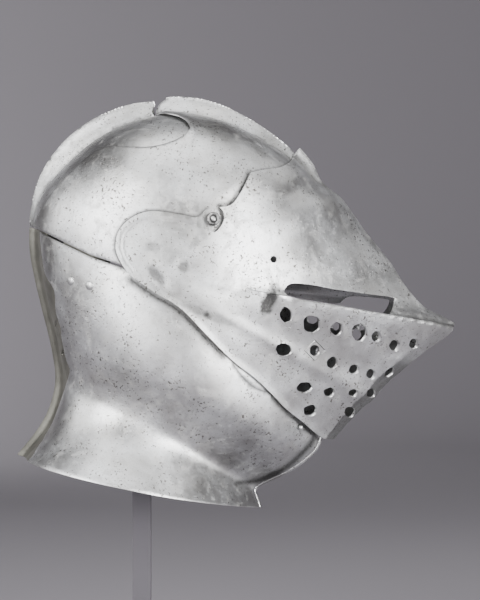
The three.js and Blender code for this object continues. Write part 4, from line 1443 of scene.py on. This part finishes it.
@dataclass
class Skull:
    """The combed bowl and the combed reinforce over it."""

    width: float = 188.0
    wall: float = 1.6
    cover_wall: float = 1.3
    rear_comb: float = 16.0
    front_comb: float = 13.5
    full: float = 2.4
    keel: float = 0.417
    foot: float = 7.5
    crest: float = 1.2
    seat: float = 0.4
    lip: tuple[float, float] = (2.2, 6.0)
    groove: tuple[float, float] = (0.7, 1.3)
    crease: tuple[float, float] = (0.3, 2.0)
    bowl_tone: float = 0.2
    cover_tone: float = 0.1

    def form(self, comb: Comb, tall: float, wall: float, grow: float) -> Bulge:
        """The bowl with one of its combs.

        Args:
            comb: which comb.
            tall: its height at its highest.
            wall: thickness of the sheet.
            grow: how far the form is grown.

        Returns:
            The form.
        """
        rows = [[x, z, self.full, self.keel, heights[comb.value] * tall, self.foot, self.crest, 0, 0]
                for x, z, *heights in BOWL]
        return Bulge(to_mm(rows), spot(SKULL_POLE), self.width / 2, wall, 2 * wall, grow)

    def build(self, helm: Helm) -> None:
        """Builds the bowl, then its reinforce."""
        self._bowl(helm)
        self._cover(helm)

    def _bowl(self, helm: Helm) -> None:
        """Builds the bowl.

        Args:
            helm: the shared finishes.
        """
        form = self.form(Comb.REAR, self.rear_comb, self.wall, 0.0)
        outline = np.vstack([to_mm(SEAM), smooth(SKULL_FACE), to_mm([[0.4, 0.5], [-0.5, 0.5]])])
        ends = [form.ray(spot(end), 0.97) for end in COMB_END]
        sheet = both_sides(form, Pattern([form.flat(even(outline, 4, True)), form.rim()],
                                         creases=[form.foot_line(), *ends], spacing=2.6))
        foot = form.place(form.foot_line())[:, [0, 2]]
        line = foot[(foot[:, 0] < spot(COMB_END[1])[0]) & (foot[:, 1] > spot([0, -0.03])[1])]
        depth, half = self.groove

        def relief(points: Array, out: Array) -> Array:
            """Works out the hammer marks and the groove along the comb's foot.

            Args:
                points: points in millimetres.
                out: their directions outwards; not used.

            Returns:
                The height at each point.
            """
            gap, _ = distance_to(points[:, [0, 2]], line)
            return marks(points, *BOWL_MARKS) - depth * fading(gap, half)

        def dirt_and_shade(points: Array) -> Array:
            """Painted shade in the groove along the comb's foot, and the comb's darker tone."""
            return lines_of_painted_shade(points, (line, 1.4, 0.75)) + comb_tone(form, points, self.bowl_tone)

        mesh = sheet.shaped(relief).mesh("skull_bowl", grime_and_shade=dirt_and_shade)
        piece("skull_bowl", mesh, [helm.steel, helm.inside], Body.STATIC, Slot.STEEL, "skull")

    def _cover(self, helm: Helm) -> None:
        """Builds the reinforce.

        Args:
            helm: the shared finishes.
        """
        form = self.form(Comb.FRONT, self.front_comb, self.cover_wall, self.seat + self.cover_wall)
        oval = smooth(OVAL)
        back = np.vstack([smooth(REINFORCE_BACK), oval])
        outline = np.vstack([back, to_mm([[-0.098, 0.36], [0.4, 0.36]]), smooth(SKULL_FACE[::-1]),
                             to_mm(SEAM)[::-1][:-1]])
        over, low_over = visor_top()[STEPS:], beside(visor_top()[VISOR_CORNER * STEPS:], -1.5)
        ear = beside(smooth(LOBE), -0.9)
        creases = [form.foot_line(), form.flat(over), form.flat(ear)]
        sheet = both_sides(form, Pattern([form.flat(even(outline, 3, True)), form.rim()], creases=creases,
                                         spacing=2.2))
        foot = form.place(form.foot_line())[:, [0, 2]]
        line = foot[(foot[:, 0] > spot(COMB_END[0])[0]) & (foot[:, 1] > spot([0, 0.1])[1])]

        def relief(points: Array, out: Array) -> Array:
            """Works out the hammer marks, the comb's crease and the oval's raised upper lip.

            Args:
                points: points in millimetres.
                out: their directions outwards; not used.

            Returns:
                The height at each point.
            """
            seen = points[:, [0, 2]]
            height = marks(points, *COVER_MARKS)
            for edge, (rise, half) in ((line, (-self.crease[0], self.crease[1])), (oval[OVAL_LIP], self.lip)):
                height += rise * fading(distance_to(seen, edge)[0], half)
            return height

        def dirt_and_shade(points: Array) -> Array:
            """Works out the painted shade beside the visor, along the edges, the lobe and the comb's crease,
            and the comb's darker tone.

            Args:
                points: points in millimetres.

            Returns:
                The painted shade and darker tone at each point.
            """
            lines = lines_of_painted_shade(points, (over, 1.0, 0.75), (low_over, 1.9, 1.0), (back, 0.9, 0.6),
                                  (line, 1.5, 0.35), (ear, 1.1, 0.9))
            return lines + comb_tone(form, points, self.cover_tone)

        mesh = sheet.shaped(relief).mesh("skull_cover", grime_and_shade=dirt_and_shade)
        piece("skull_cover", mesh, [helm.steel, helm.inside], Body.STATIC, Slot.STEEL, "skull_reinforce")


def visor_top() -> Array:
    """The visor's upper and rear edge in millimetres, with its corner."""
    return np.vstack([smooth(VISOR_TOP[:VISOR_CORNER + 1]), smooth(VISOR_TOP[VISOR_CORNER:])[1:]])


def both_sides(form: Form, pattern: Pattern, other: Optional[Pattern] = None) -> Sheet:
    """Presses a pattern on both sides of a form and joins the halves.

    Args:
        form: the form.
        pattern: the right side's pattern.
        other: the left side's, where it differs.

    Returns:
        The whole sheet.
    """
    right = cut(pattern)
    left = cut(other) if other else right
    return Sheet.pressed(form, *right, Side.RIGHT).joined(Sheet.pressed(form, *left, Side.LEFT))


def cheek_stains(points: Array) -> Array:
    """Works out the broad dull patches on the cheek plates.

    Args:
        points: points in millimetres.

    Returns:
        The dirt at each point.
    """
    result = np.zeros(len(points))
    for middle, wide, tall, slant, strength in CHEEK_STAINS:
        result += strength * bump_at(points, spot(middle), wide, tall, slant)
    return result * (1.3 + marks(points, (1.1, 6, 3.3), (0.6, 2.6, 1.3)))


@dataclass
class Collar:
    """The cheek plates and the nape plate."""

    width: float = 190.0
    wall: float = 1.4
    seam_gap: float = 2.4
    chin_right: float = 4.0
    chin_left: float = 2.4
    keel: float = 6.0
    lap: float = 6.0
    seat: float = 0.4
    visor_off: tuple[float, float] = (1.7, 2.1)

    def rows(self) -> Array:
        """Turns JAW into millimetres.

        Returns:
            The rows of the form.
        """
        rows = np.array(JAW, float)
        rows[:, 0:2] = to_mm(rows[:, 0:2])
        rows[:, 2:4] = to_mm(rows[:, 2:4])
        rows[:, 4] *= self.width / 2
        rows[:, 5] *= HEIGHT
        return rows

    def build(self, helm: Helm) -> None:
        """Builds the plates.

        Args:
            helm: the shared finishes.
        """
        form = Jaw(self.rows(), 0.0, 0.0, self.wall)
        top = to_mm(SEAM) - [0, self.seam_gap]
        outline = np.vstack([top[2:], to_mm(CHEEK_FACE)[::-1], to_mm([[0.5, -0.8], [-0.5, -0.8]]),
                             smooth(CHEEK_BACK)[::-1]])
        shape = form.flat(even(outline, 4, True))
        edge = smooth(LOBE[-1:] + VISOR_BOTTOM) - self.visor_off
        below = form.flat(even(edge[edge[:, 0] < spot([0.26, 0])[0]], 2.5, False))
        lens = smooth(LENS, 4)
        # Painted shade along lines: under the visor's lower edge, along the lens notch, in the seam gap and
        # in the chin's hollow.
        shades = ((edge[edge[:, 0] < -10], 3.2, 0.95), (edge[edge[:, 0] > 26], 1.6, 0.8), (lens, 0.9, 0.8),
                  (top, 1.2, 0.7), (smooth(CHIN_SHADE, 4), 3.2, 0.95))
        for side, front, beyond in ((Side.RIGHT, self.chin_right, False), (Side.LEFT, self.chin_left, True)):
            limit = np.vstack([[-20, 0], form.limit(front, beyond), [-20, form.DEPTH]])
            flat, triangles = cut(Pattern([shape, limit], creases=[below, form.flat(lens)], spacing=2.5))
            sheet = Sheet.pressed(form, flat, triangles, side).shaped(lambda p, n: marks(p, *CHEEK_MARKS))
            word = side.name.lower()
            mesh = sheet.mesh(f"cheek_{word}", grime_and_shade=lambda p: lines_of_painted_shade(p, *shades) + cheek_stains(p))
            piece(f"cheek_{word}", mesh, [helm.steel, helm.inside], Body.STATIC, Slot.STEEL,
                  f"cheek_plate_{word}")
        self._nape(helm)

    def _nape(self, helm: Helm) -> None:
        """Builds the nape plate.

        Args:
            helm: the shared finishes.
        """
        inset = self.wall + self.seat
        form = Jaw(self.rows(), -inset, self.keel + inset, self.wall)
        front = to_mm(CHEEK_BACK) + [self.lap, 0]
        drop = self.seam_gap / HEIGHT
        outline = np.vstack([eased(front, False, STEPS),
                             to_mm([[-0.6, -0.62], [-0.6, 0.02 - drop], [-0.42, -0.006 - drop]])])
        whole = np.array([[0, 0], [form.GIRTH, 0], [form.GIRTH, form.DEPTH], [0, form.DEPTH]], float)
        holes = [form.flat(ragged(place, 2.6, 6.4, -14, i, 0.03, 12)) for i, place in enumerate(NAPE_HOLES)]
        sheet = both_sides(form, Pattern([form.flat(even(outline, 4, True)), whole], holes, spacing=2.4))
        mesh = sheet.shaped(lambda p, n: marks(p, *NAPE_MARKS)).mesh("nape_strip")
        piece("nape_strip", mesh, [helm.dull, helm.inside], Body.STATIC, Slot.DARK_STEEL, "nape_plate")


@dataclass
class Visor:
    """The beaked visor with its sights, breaths, ear lobes and the square plug."""

    width: float = 207.0
    wall: float = 1.6
    ridge: float = 7.0
    ledge: float = 5.0
    crest: float = 1.2
    pivot_hole: float = 6.7
    plug: float = 8.6
    breath: float = 1.27
    far_breath: float = 0.7
    shift: tuple[float, float] = (-5.5, 6.0)
    roll: float = 4.0
    roll_rise: float = 0.7
    edge: tuple[float, float] = (0.5, 2.6)
    burr: tuple[float, float] = (0.12, 1.5)
    fold: tuple[float, float] = (2.0, 3.2)

    def form(self) -> Bulge:
        """Makes the visor's form.

        Returns:
            What it built.
        """
        rows = [[x, z, full, keel, ridge * self.ridge, foot, self.crest, ledge * self.ledge, blunt]
                for x, z, full, keel, ridge, ledge, foot, blunt in VISOR]
        return Bulge(to_mm(rows)[::-1], spot(VISOR_POLE), self.width / 2, self.wall, 0.6 * self.wall)

    def build(self, helm: Helm) -> None:
        """Builds the visor and its plug.

        Args:
            helm: the shared finishes.
        """
        form = self.form()
        lobe, bottom = smooth(LOBE), smooth(VISOR_BOTTOM)
        outline = np.vstack([visor_top(), lobe, bottom, to_mm([[0.7, -0.3], [0.7, 0.25]])])
        sight, far_sight = smooth(SIGHT, 4, True), smooth(FAR_SIGHT, 4, True)
        breaths = [ragged((x, z), self.breath * wide, self.breath * tall, slant, i)
                   for i, (x, z, wide, tall, slant) in enumerate(BREATHS)]
        far = [hole.mean(0) + self.far_breath * (hole - hole.mean(0)) + BREATH_SHIFT.get(i, self.shift)
               for i, hole in enumerate(breaths)]
        middle = spot(PATCH)
        diamond = np.array([[self.plug, 0], [0, self.plug], [-self.plug, 0], [0, -self.plug]])
        plug_hole = ragged(PATCH, 8.4, 8.8, 0, 31, 0.05, 18)
        round_hole = ragged(ROUND_HOLE, 5.4, 5.4, 0, 40, 0.01, 16)
        pivot = smooth(PIVOT_HOLE, 3, True)
        left_pivot = ragged((0, 0), 2 * self.pivot_hole, 2 * self.pivot_hole, 0, 50, 0.01, 24)
        shape = form.flat(even(outline, 2.5, True))
        creases = [form.foot_line()] + [form.ray(spot(edge), 0.3) for edge in LEDGE_EDGES]
        creases += [form.flat(beside(lobe[3:], gap)[:-2]) for gap in (self.roll, self.roll + 1)]

        def pattern(holes: Sequence[Array]) -> Pattern:
            """The pattern with some holes."""
            return Pattern([shape, form.rim()], [form.flat(hole) for hole in holes], creases, spacing=2.0)

        plug_opening = even(middle + diamond, 2.5, True)
        sheet = both_sides(form, pattern([sight, *breaths, round_hole, pivot, plug_opening]),
                           pattern([far_sight, *far, round_hole, left_pivot, plug_hole + [-1.5, 1.5]]))

        foot = form.place(form.foot_line())[:, [0, 2]]
        ridge_foot = foot[(foot[:, 0] > spot([0.12, 0])[0]) & (foot[:, 1] > spot([0, 0.085])[1])]
        ridge_foot = ridge_foot[np.argsort(-ridge_foot[:, 1])]

        def relief(points: Array, out: Array) -> Array:
            """Works out the rolled lobe, the lips, the ridge's fold and the dents.

            Args:
                points: points in millimetres.
                out: their directions outwards; not used.

            Returns:
                The height at each point.
            """
            seen = points[:, [0, 2]]
            height = marks(points, *VISOR_MARKS)
            lobe_gap, place = distance_to(seen, lobe)
            height += self.roll_rise * np.clip(self.roll + 1 - lobe_gap, 0, 1) * np.clip(place / 0.08, 0, 1)
            rise, half = self.edge
            height += rise * fading(distance_to(seen, bottom)[0], half)
            rise, half = self.burr
            for near, other in zip(breaths + [round_hole], far + [round_hole]):
                near_gap, other_gap = distance_to(seen, near, True)[0], distance_to(seen, other, True)[0]
                height += rise * fading(np.where(points[:, 1] < 0, near_gap, other_gap), half)
            fold_gap, along = distance_to(seen, ridge_foot)
            depth, half = self.fold
            height -= depth * fading(fold_gap, half) * np.clip(2 - 2 * along, 0, 1)
            for place, wide, tall, slant, depth in VISOR_DENTS:
                height -= depth * bump_at(points, spot(place), wide, tall, slant)
            return height

        sheet = sheet.shaped(relief)

        def dirt_and_shade(points: Array) -> Array:
            """Works out the painted shade in the fold and along the step, the stains, and the painted dark
            reflection on the beak's facet.

            Args:
                points: points in millimetres.

            Returns:
                The painted shade, stains and painted reflection at each point.
            """
            seen = points[:, [0, 2]]
            # Painted shade in the ridge's fold.
            fold_gap, along = distance_to(seen, ridge_foot)
            result = 0.95 * fading(fold_gap, 2.6) * np.clip(1.9 - 2 * along, 0, 1)
            uneven = marks(points, (0.22, 5, 3.3), (0.12, 2.4, 7.3))
            for place, wide, tall, slant, strength in VISOR_STAINS:
                patch = bump_at(points, spot(place), wide, tall, slant)
                result += strength * np.clip((patch + uneven - 0.2) * 2.6, 0, 1)
            flat_seen = form.flat(seen)
            angle = np.arctan2(flat_seen[:, 1], flat_seen[:, 0])
            # Painted shade along the step's edge.
            off_step = (angle - form.direction(spot(LEDGE_EDGES[1]))) * np.hypot(*flat_seen.T) + 0.4
            result += 0.9 * fading(off_step, 1.6) * np.clip((seen[:, 0] - 38) / 10, 0, 1)
            # Painted dark reflection on the beak's facet.
            front, rear = (form.direction(spot(place)) for place in FACET)
            facet = (angle < front) & (angle > rear) & (form.past_foot(flat_seen) > -1e-3)
            return result + 0.72 * facet * np.clip((front - angle) / 0.06, 0.35, 1)

        mesh = sheet.mesh("visor_shell", rim=0.12, dark=14, grime_and_shade=dirt_and_shade)
        piece("visor_shell", mesh, [helm.steel, helm.inside], Body.MOVING, Slot.STEEL, "visor")
        flat, triangles = cut(Pattern([form.flat(even(middle + diamond * (1 - 0.9 / self.plug), 2, True))],
                                      [form.flat(plug_hole)], spacing=1.5))
        plug = Sheet.pressed(form, flat, triangles, Side.RIGHT)
        mesh = plug.mesh("visor_plug", rim=0.1, dark=40)
        piece("visor_plug", mesh, [helm.steel, helm.inside], Body.MOVING, Slot.STEEL, "visor_patch_right")


def spot_on(form: Form, place: Sequence[float], side: Side) -> tuple[Array, Array]:
    """Finds a place on a form.

    Args:
        form: the form.
        place: the place in side view as shares.
        side: which side of the helmet.

    Returns:
        The point in millimetres and the direction outwards.
    """
    seen = to_mm([place, place, place]) + [[0, 0], [1, 0], [0, 1]]
    spots = form.place(form.flat(seen)) * [1, side.value, 1]
    out = np.cross(spots[1] - spots[0], spots[2] - spots[0])
    out *= side.value * np.sign(out[1]) / np.linalg.norm(out)
    return spots[0], out


def turned(name: str, profile: Sequence[Sequence[float]], middle: Array, out: Array, count: int = 40,
           uneven: float = 0.0, dirt_and_shade: Sequence[float] = ()) -> bpy.types.Mesh:
    """Turns a profile round an axis into a closed body.

    Args:
        name: name of the mesh.
        profile: radius and height pairs from the top to the bottom, in millimetres.
        middle: the axis at height 0.
        out: the axis.
        count: sides.
        uneven: how far its surface wanders.
        dirt_and_shade: how much each row of the profile is darkened, from 0 to 1.

    Returns:
        The mesh in metres.
    """
    bm = bmesh.new()
    axis = Vector(out)
    across = axis.orthogonal().normalized()
    other = axis.cross(across)
    rings = []
    for radius, height in profile:
        ring = []
        for i in range(count):
            a = 2 * math.pi * i / count
            way = across * math.cos(a) + other * math.sin(a)
            point = way * radius + axis * height
            point += (way + axis) * uneven * noise.noise(point / 2.1)
            ring.append(bm.verts.new((Vector(middle) + point) * MM))
        rings.append(ring)
    for upper, lower in zip(rings, rings[1:]):
        for i in range(count):
            bm.faces.new((upper[i], lower[i], lower[(i + 1) % count], upper[(i + 1) % count]))
    bm.faces.new(rings[0])
    bm.faces.new(rings[-1][::-1])
    bmesh.ops.recalc_face_normals(bm, faces=bm.faces)
    mesh = bpy.data.meshes.new(name)
    bm.to_mesh(mesh)
    bm.free()
    shares = np.repeat(dirt_and_shade if len(dirt_and_shade) else np.zeros(len(profile)), count)
    mesh.attributes.new("grime_and_shade", "FLOAT", "POINT").data.foreach_set("value", shares)
    mesh.polygons.foreach_set("use_smooth", [True] * len(mesh.polygons))
    mesh.set_sharp_from_angle(angle=math.radians(40))
    return mesh


@dataclass(frozen=True)
class Domes:
    """Domed rivet heads set on given places by a node tree."""

    radius: float = 3.4
    height: float = 1.5
    seed: int = 5

    def tree(self) -> bpy.types.GeometryNodeTree:
        """Builds the tree: a flattened ball on every point, turned outwards and a little uneven in size.

        Returns:
            What it built.
        """
        tree = bpy.data.node_groups.new("rivet_heads", "GeometryNodeTree")
        face = tree.interface
        face.new_socket("Geometry", in_out="INPUT", socket_type="NodeSocketGeometry")
        face.new_socket("Geometry", in_out="OUTPUT", socket_type="NodeSocketGeometry")
        for name in ("Radius", "Height"):
            face.new_socket(name, in_out="INPUT", socket_type="NodeSocketFloat")
        face.new_socket("Seed", in_out="INPUT", socket_type="NodeSocketInt")
        face.new_socket("Finish", in_out="INPUT", socket_type="NodeSocketMaterial")

        def node(kind: str, **values: object) -> bpy.types.Node:
            """Adds a node.

            Args:
                kind: its type.
                values: values or sockets for its own sockets, by name.

            Returns:
                The node.
            """
            item = tree.nodes.new(kind)
            for key, value in values.items():
                socket = item.inputs[key.replace("_", " ")]
                if isinstance(value, bpy.types.NodeSocket):
                    tree.links.new(value, socket)
                else:
                    socket.default_value = value
            return item

        given = node("NodeGroupInput").outputs
        ball = node("GeometryNodeMeshUVSphere", Segments=28, Rings=16, Radius=1.0)
        size = node("ShaderNodeCombineXYZ", X=given["Radius"], Y=given["Radius"], Z=given["Height"])
        head = node("GeometryNodeTransform", Geometry=ball.outputs["Mesh"], Scale=size.outputs[0])
        out = tree.nodes.new("GeometryNodeInputNamedAttribute")
        out.data_type = "FLOAT_VECTOR"
        out.inputs["Name"].default_value = "out"
        turn = node("FunctionNodeAlignRotationToVector", Vector=out.outputs["Attribute"])
        turn.axis = "Z"
        vary = tree.nodes.new("FunctionNodeRandomValue")
        vary.data_type = "FLOAT"
        vary.inputs[2].default_value, vary.inputs[3].default_value = 0.94, 1.05
        tree.links.new(given["Seed"], vary.inputs["Seed"])
        heads = node("GeometryNodeInstanceOnPoints", Points=given["Geometry"], Instance=head.outputs[0],
                     Rotation=turn.outputs[0], Scale=vary.outputs[1])
        real = node("GeometryNodeRealizeInstances", Geometry=heads.outputs[0])
        done = node("GeometryNodeSetMaterial", Geometry=real.outputs[0], Material=given["Finish"])
        node("NodeGroupOutput", Geometry=done.outputs[0])
        return tree

    def mesh(self, name: str, places: Array, outs: Array, finish: bpy.types.Material) -> bpy.types.Mesh:
        """Makes the heads as a plain mesh.

        Args:
            name: name of the mesh.
            places: their middles in millimetres.
            outs: their directions.
            finish: their material.

        Returns:
            The mesh in metres.
        """
        points = bpy.data.meshes.new(f"{name}_places")
        points.from_pydata((places * MM).tolist(), [], [])
        way = points.attributes.new("out", "FLOAT_VECTOR", "POINT")
        way.data.foreach_set("vector", outs.ravel())
        holder = bpy.data.objects.new(f"{name}_places", points)
        bpy.context.scene.collection.objects.link(holder)
        modifier = holder.modifiers.new("heads", "NODES")
        modifier.node_group = self.tree()
        values = {"Radius": self.radius * MM, "Height": self.height * MM, "Seed": self.seed, "Finish": finish}
        for item in modifier.node_group.interface.items_tree:
            if item.in_out == "INPUT" and item.name in values:
                modifier[item.identifier] = values[item.name]
        shaped = holder.evaluated_get(bpy.context.evaluated_depsgraph_get())
        mesh = bpy.data.meshes.new_from_object(shaped)
        mesh.name = name
        bpy.data.objects.remove(holder)
        mesh.polygons.foreach_set("use_smooth", [True] * len(mesh.polygons))
        return mesh


@dataclass
class Fasteners:
    """Rivets, pivot bolts and the visor's catch."""

    rivet: Domes = Domes()
    pivot_rise: float = 0.6
    catch: float = 2.3

    def build(self, helm: Helm, collar: Jaw) -> None:
        """Builds them.

        Args:
            helm: the shared finishes.
            collar: the cheek plates' form.
        """
        spots = [spot_on(collar, place, side) for side in Side for place in RIVETS]
        places, outs = (np.array(column) for column in zip(*spots))
        heads = self.rivet.mesh("rivet_heads", places, outs, helm.steel)
        names = [f"cheek_rivet_{side}_{number}" for side in ("right", "left") for number in (1, 2)]
        piece("rivet_heads", heads, [helm.steel], Body.STATIC, Slot.STEEL, *names)
        for side in Side:
            word = side.name.lower()
            low, high = (np.array(corner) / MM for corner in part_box(f"pivot_{word}"))
            face = low[1] if side is Side.RIGHT else high[1]
            middle = np.array([PIVOT_X, face - side.value * (2.2 - self.pivot_rise), PIVOT_Z])
            profile = [[0.3, 2.2], [1.3, 1.95], [1.9, 1.35], [2.1, 0.6], [2.6, 0.1], [3.6, 0.6], [4.6, 0.35],
                       [5.1, -0.3], [5.2, -1.6], [4.4, -2.4], [3.0, -8.0]]
            # The last list darkens the bolt: painted shade in the groove under the head, and the washer's
            # dark metal.
            bolt = turned(f"pivot_bolt_{word}", profile, middle, np.array([0, side.value, 0]), 48, 0.45,
                          [0, 0, 0.3, 1, 1, 0.55, 0.6, 0.9, 1, 1, 1])
            piece(f"pivot_bolt_{word}", bolt, [helm.steel], Body.STATIC, Slot.STEEL, f"pivot_{word}")
        place, out = spot_on(collar, CATCH, Side.RIGHT)
        profile = [[0.3, 3.2], [1.2, 2.9], [self.catch * 0.9, 2.1], [self.catch, 1.1],
                   [self.catch * 0.8, 0.2], [1.5, -0.4], [1.4, -2.2]]
        # The last list darkens the catch towards the plate.
        stud = turned("catch_stud", profile, place, out, 32, 0.2, [0, 0, 0.1, 0.4, 0.9, 1, 1])
        piece("catch_stud", stud, [helm.steel], Body.STATIC, Slot.STEEL, "visor_catch")


@dataclass(frozen=True)
class Lamp:
    """A soft square light, seen only by the object."""

    name: str
    place: tuple[float, float, float]
    target: tuple[float, float, float]
    size: float
    power: float
    colour: tuple[float, float, float] = (1.0, 1.0, 1.0)

    def build(self) -> None:
        """Adds the light."""
        light = bpy.data.lights.new(self.name, "AREA")
        light.shape, light.size, light.energy, light.color = "SQUARE", self.size, self.power, self.colour
        item = bpy.data.objects.new(self.name, light)
        bpy.context.scene.collection.objects.link(item)
        item.location = self.place
        way = Vector(self.target) - Vector(self.place)
        item.rotation_euler = way.to_track_quat("-Z", "Y").to_euler()
        item.visible_camera = False


LAMPS = (
    Lamp("left", (-1.3, -1.8, 1.1), (0, 0, 0.33), 1.7, 86),
    Lamp("right", (1.4, -1.7, 1.1), (0, 0, 0.33), 1.4, 50),
    Lamp("top", (0.0, -0.5, 2.0), (0, 0, 0.3), 1.4, 21),
    Lamp("low", (0.75, -0.75, 0.06), (0.1, 0, 0.3), 0.9, 28),
    Lamp("beak", (0.62, -0.3, 0.03), (0.12, -0.04, 0.29), 0.6, 1.8),
    Lamp("low_left", (-0.45, -1.1, 0.05), (-0.05, 0, 0.27), 0.8, 8),
    Lamp("right_top", (1.35, 0.3, 1.75), (0.05, 0, 0.35), 1.2, 6),
    Lamp("left_side", (-1.9, -0.35, 1.0), (-0.05, 0, 0.35), 1.3, 19),
    Lamp("wall", (-1.6, 2.6, 1.2), (-0.9, 4.7, 0.4), 1.2, 44),
)


@dataclass
class Studio:
    """Floor, round sweep, lights and camera."""

    reach: float = 4.8
    curve: float = 1.7
    tall: float = 6.0
    tone: tuple[float, float, float] = (0.21, 0.198, 0.217)
    room: tuple[float, float, float] = (0.25, 0.25, 0.26)
    eye: tuple[float, float, float] = (0.0032, -1.8, 0.318)
    sensor: float = 36.0
    lens: float = 135.0

    def build(self) -> None:
        """Builds the studio."""
        self._sweep()
        world = bpy.data.worlds.new("studio")
        bpy.context.scene.world = world
        world.use_nodes = True
        world.node_tree.nodes["Background"].inputs[0].default_value = (*self.room, 1)
        for lamp in LAMPS:
            lamp.build()
        camera = bpy.data.cameras.new("camera")
        camera.sensor_width, camera.lens = self.sensor, self.lens
        item = bpy.data.objects.new("camera", camera)
        bpy.context.scene.collection.objects.link(item)
        item.location = self.eye
        item.rotation_euler = (math.pi / 2, 0, 0)
        bpy.context.scene.camera = item

    def _sweep(self) -> None:
        """Builds the floor that curves up into a round wall."""
        bend = [(self.reach - self.curve * (1 - math.sin(a)), self.curve * (1 - math.cos(a)))
                for a in np.linspace(0, math.pi / 2, 25)]
        flat = [(0.02, 0.0)] + [(r, 0.0) for r in np.linspace(0.5, 2.8, 6)]
        profile = flat + bend + [(self.reach, self.tall)]
        bm = bmesh.new()
        count = 128
        ways = [(math.cos(2 * math.pi * i / count), math.sin(2 * math.pi * i / count)) for i in range(count)]
        rings = [[bm.verts.new((r * across, r * along, z)) for across, along in ways] for r, z in profile]
        bm.faces.new(rings[0])
        for near, far in zip(rings, rings[1:]):
            for i in range(count):
                bm.faces.new((near[i], far[i], far[(i + 1) % count], near[(i + 1) % count]))
        for face in bm.faces:
            face.smooth = True
        mesh = bpy.data.meshes.new("floor")
        bm.to_mesh(mesh)
        bm.free()
        mesh.materials.append(Plain("floor_paint", self.tone).material())
        floor = bpy.data.objects.new("floor", mesh)
        bpy.context.scene.collection.objects.link(floor)


def main() -> None:
    """Builds every piece in order."""
    logging.basicConfig(level=logging.INFO, format="%(name)s %(message)s")
    steel = PolishedSteel().material()
    # The inside finish is unpolished steel darkened to near black, painted shade for the insides seen through
    # the openings.
    inside_steel = DullSteel("inside_steel", (0.03, 0.027, 0.024), (0.06, 0.055, 0.05), 0.6).material()
    dull = DullSteel("nape_steel", (0.13, 0.127, 0.11), (0.22, 0.215, 0.19), 0.4).material()
    paint = PostPaint().material()
    helm = Helm(steel, inside_steel, dull)
    for name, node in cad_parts.items():
        look = paint if name.startswith("stand") else dull if "strap" in name else steel
        node.data.materials.clear()
        node.data.materials.append(look)
    Skull().build(helm)
    collar = Collar()
    collar.build(helm)
    Visor().build(helm)
    Fasteners().build(helm, Jaw(collar.rows(), 0.0, 0.0, collar.wall))
    Studio().build()


if __name__ == "__main__":
    main()
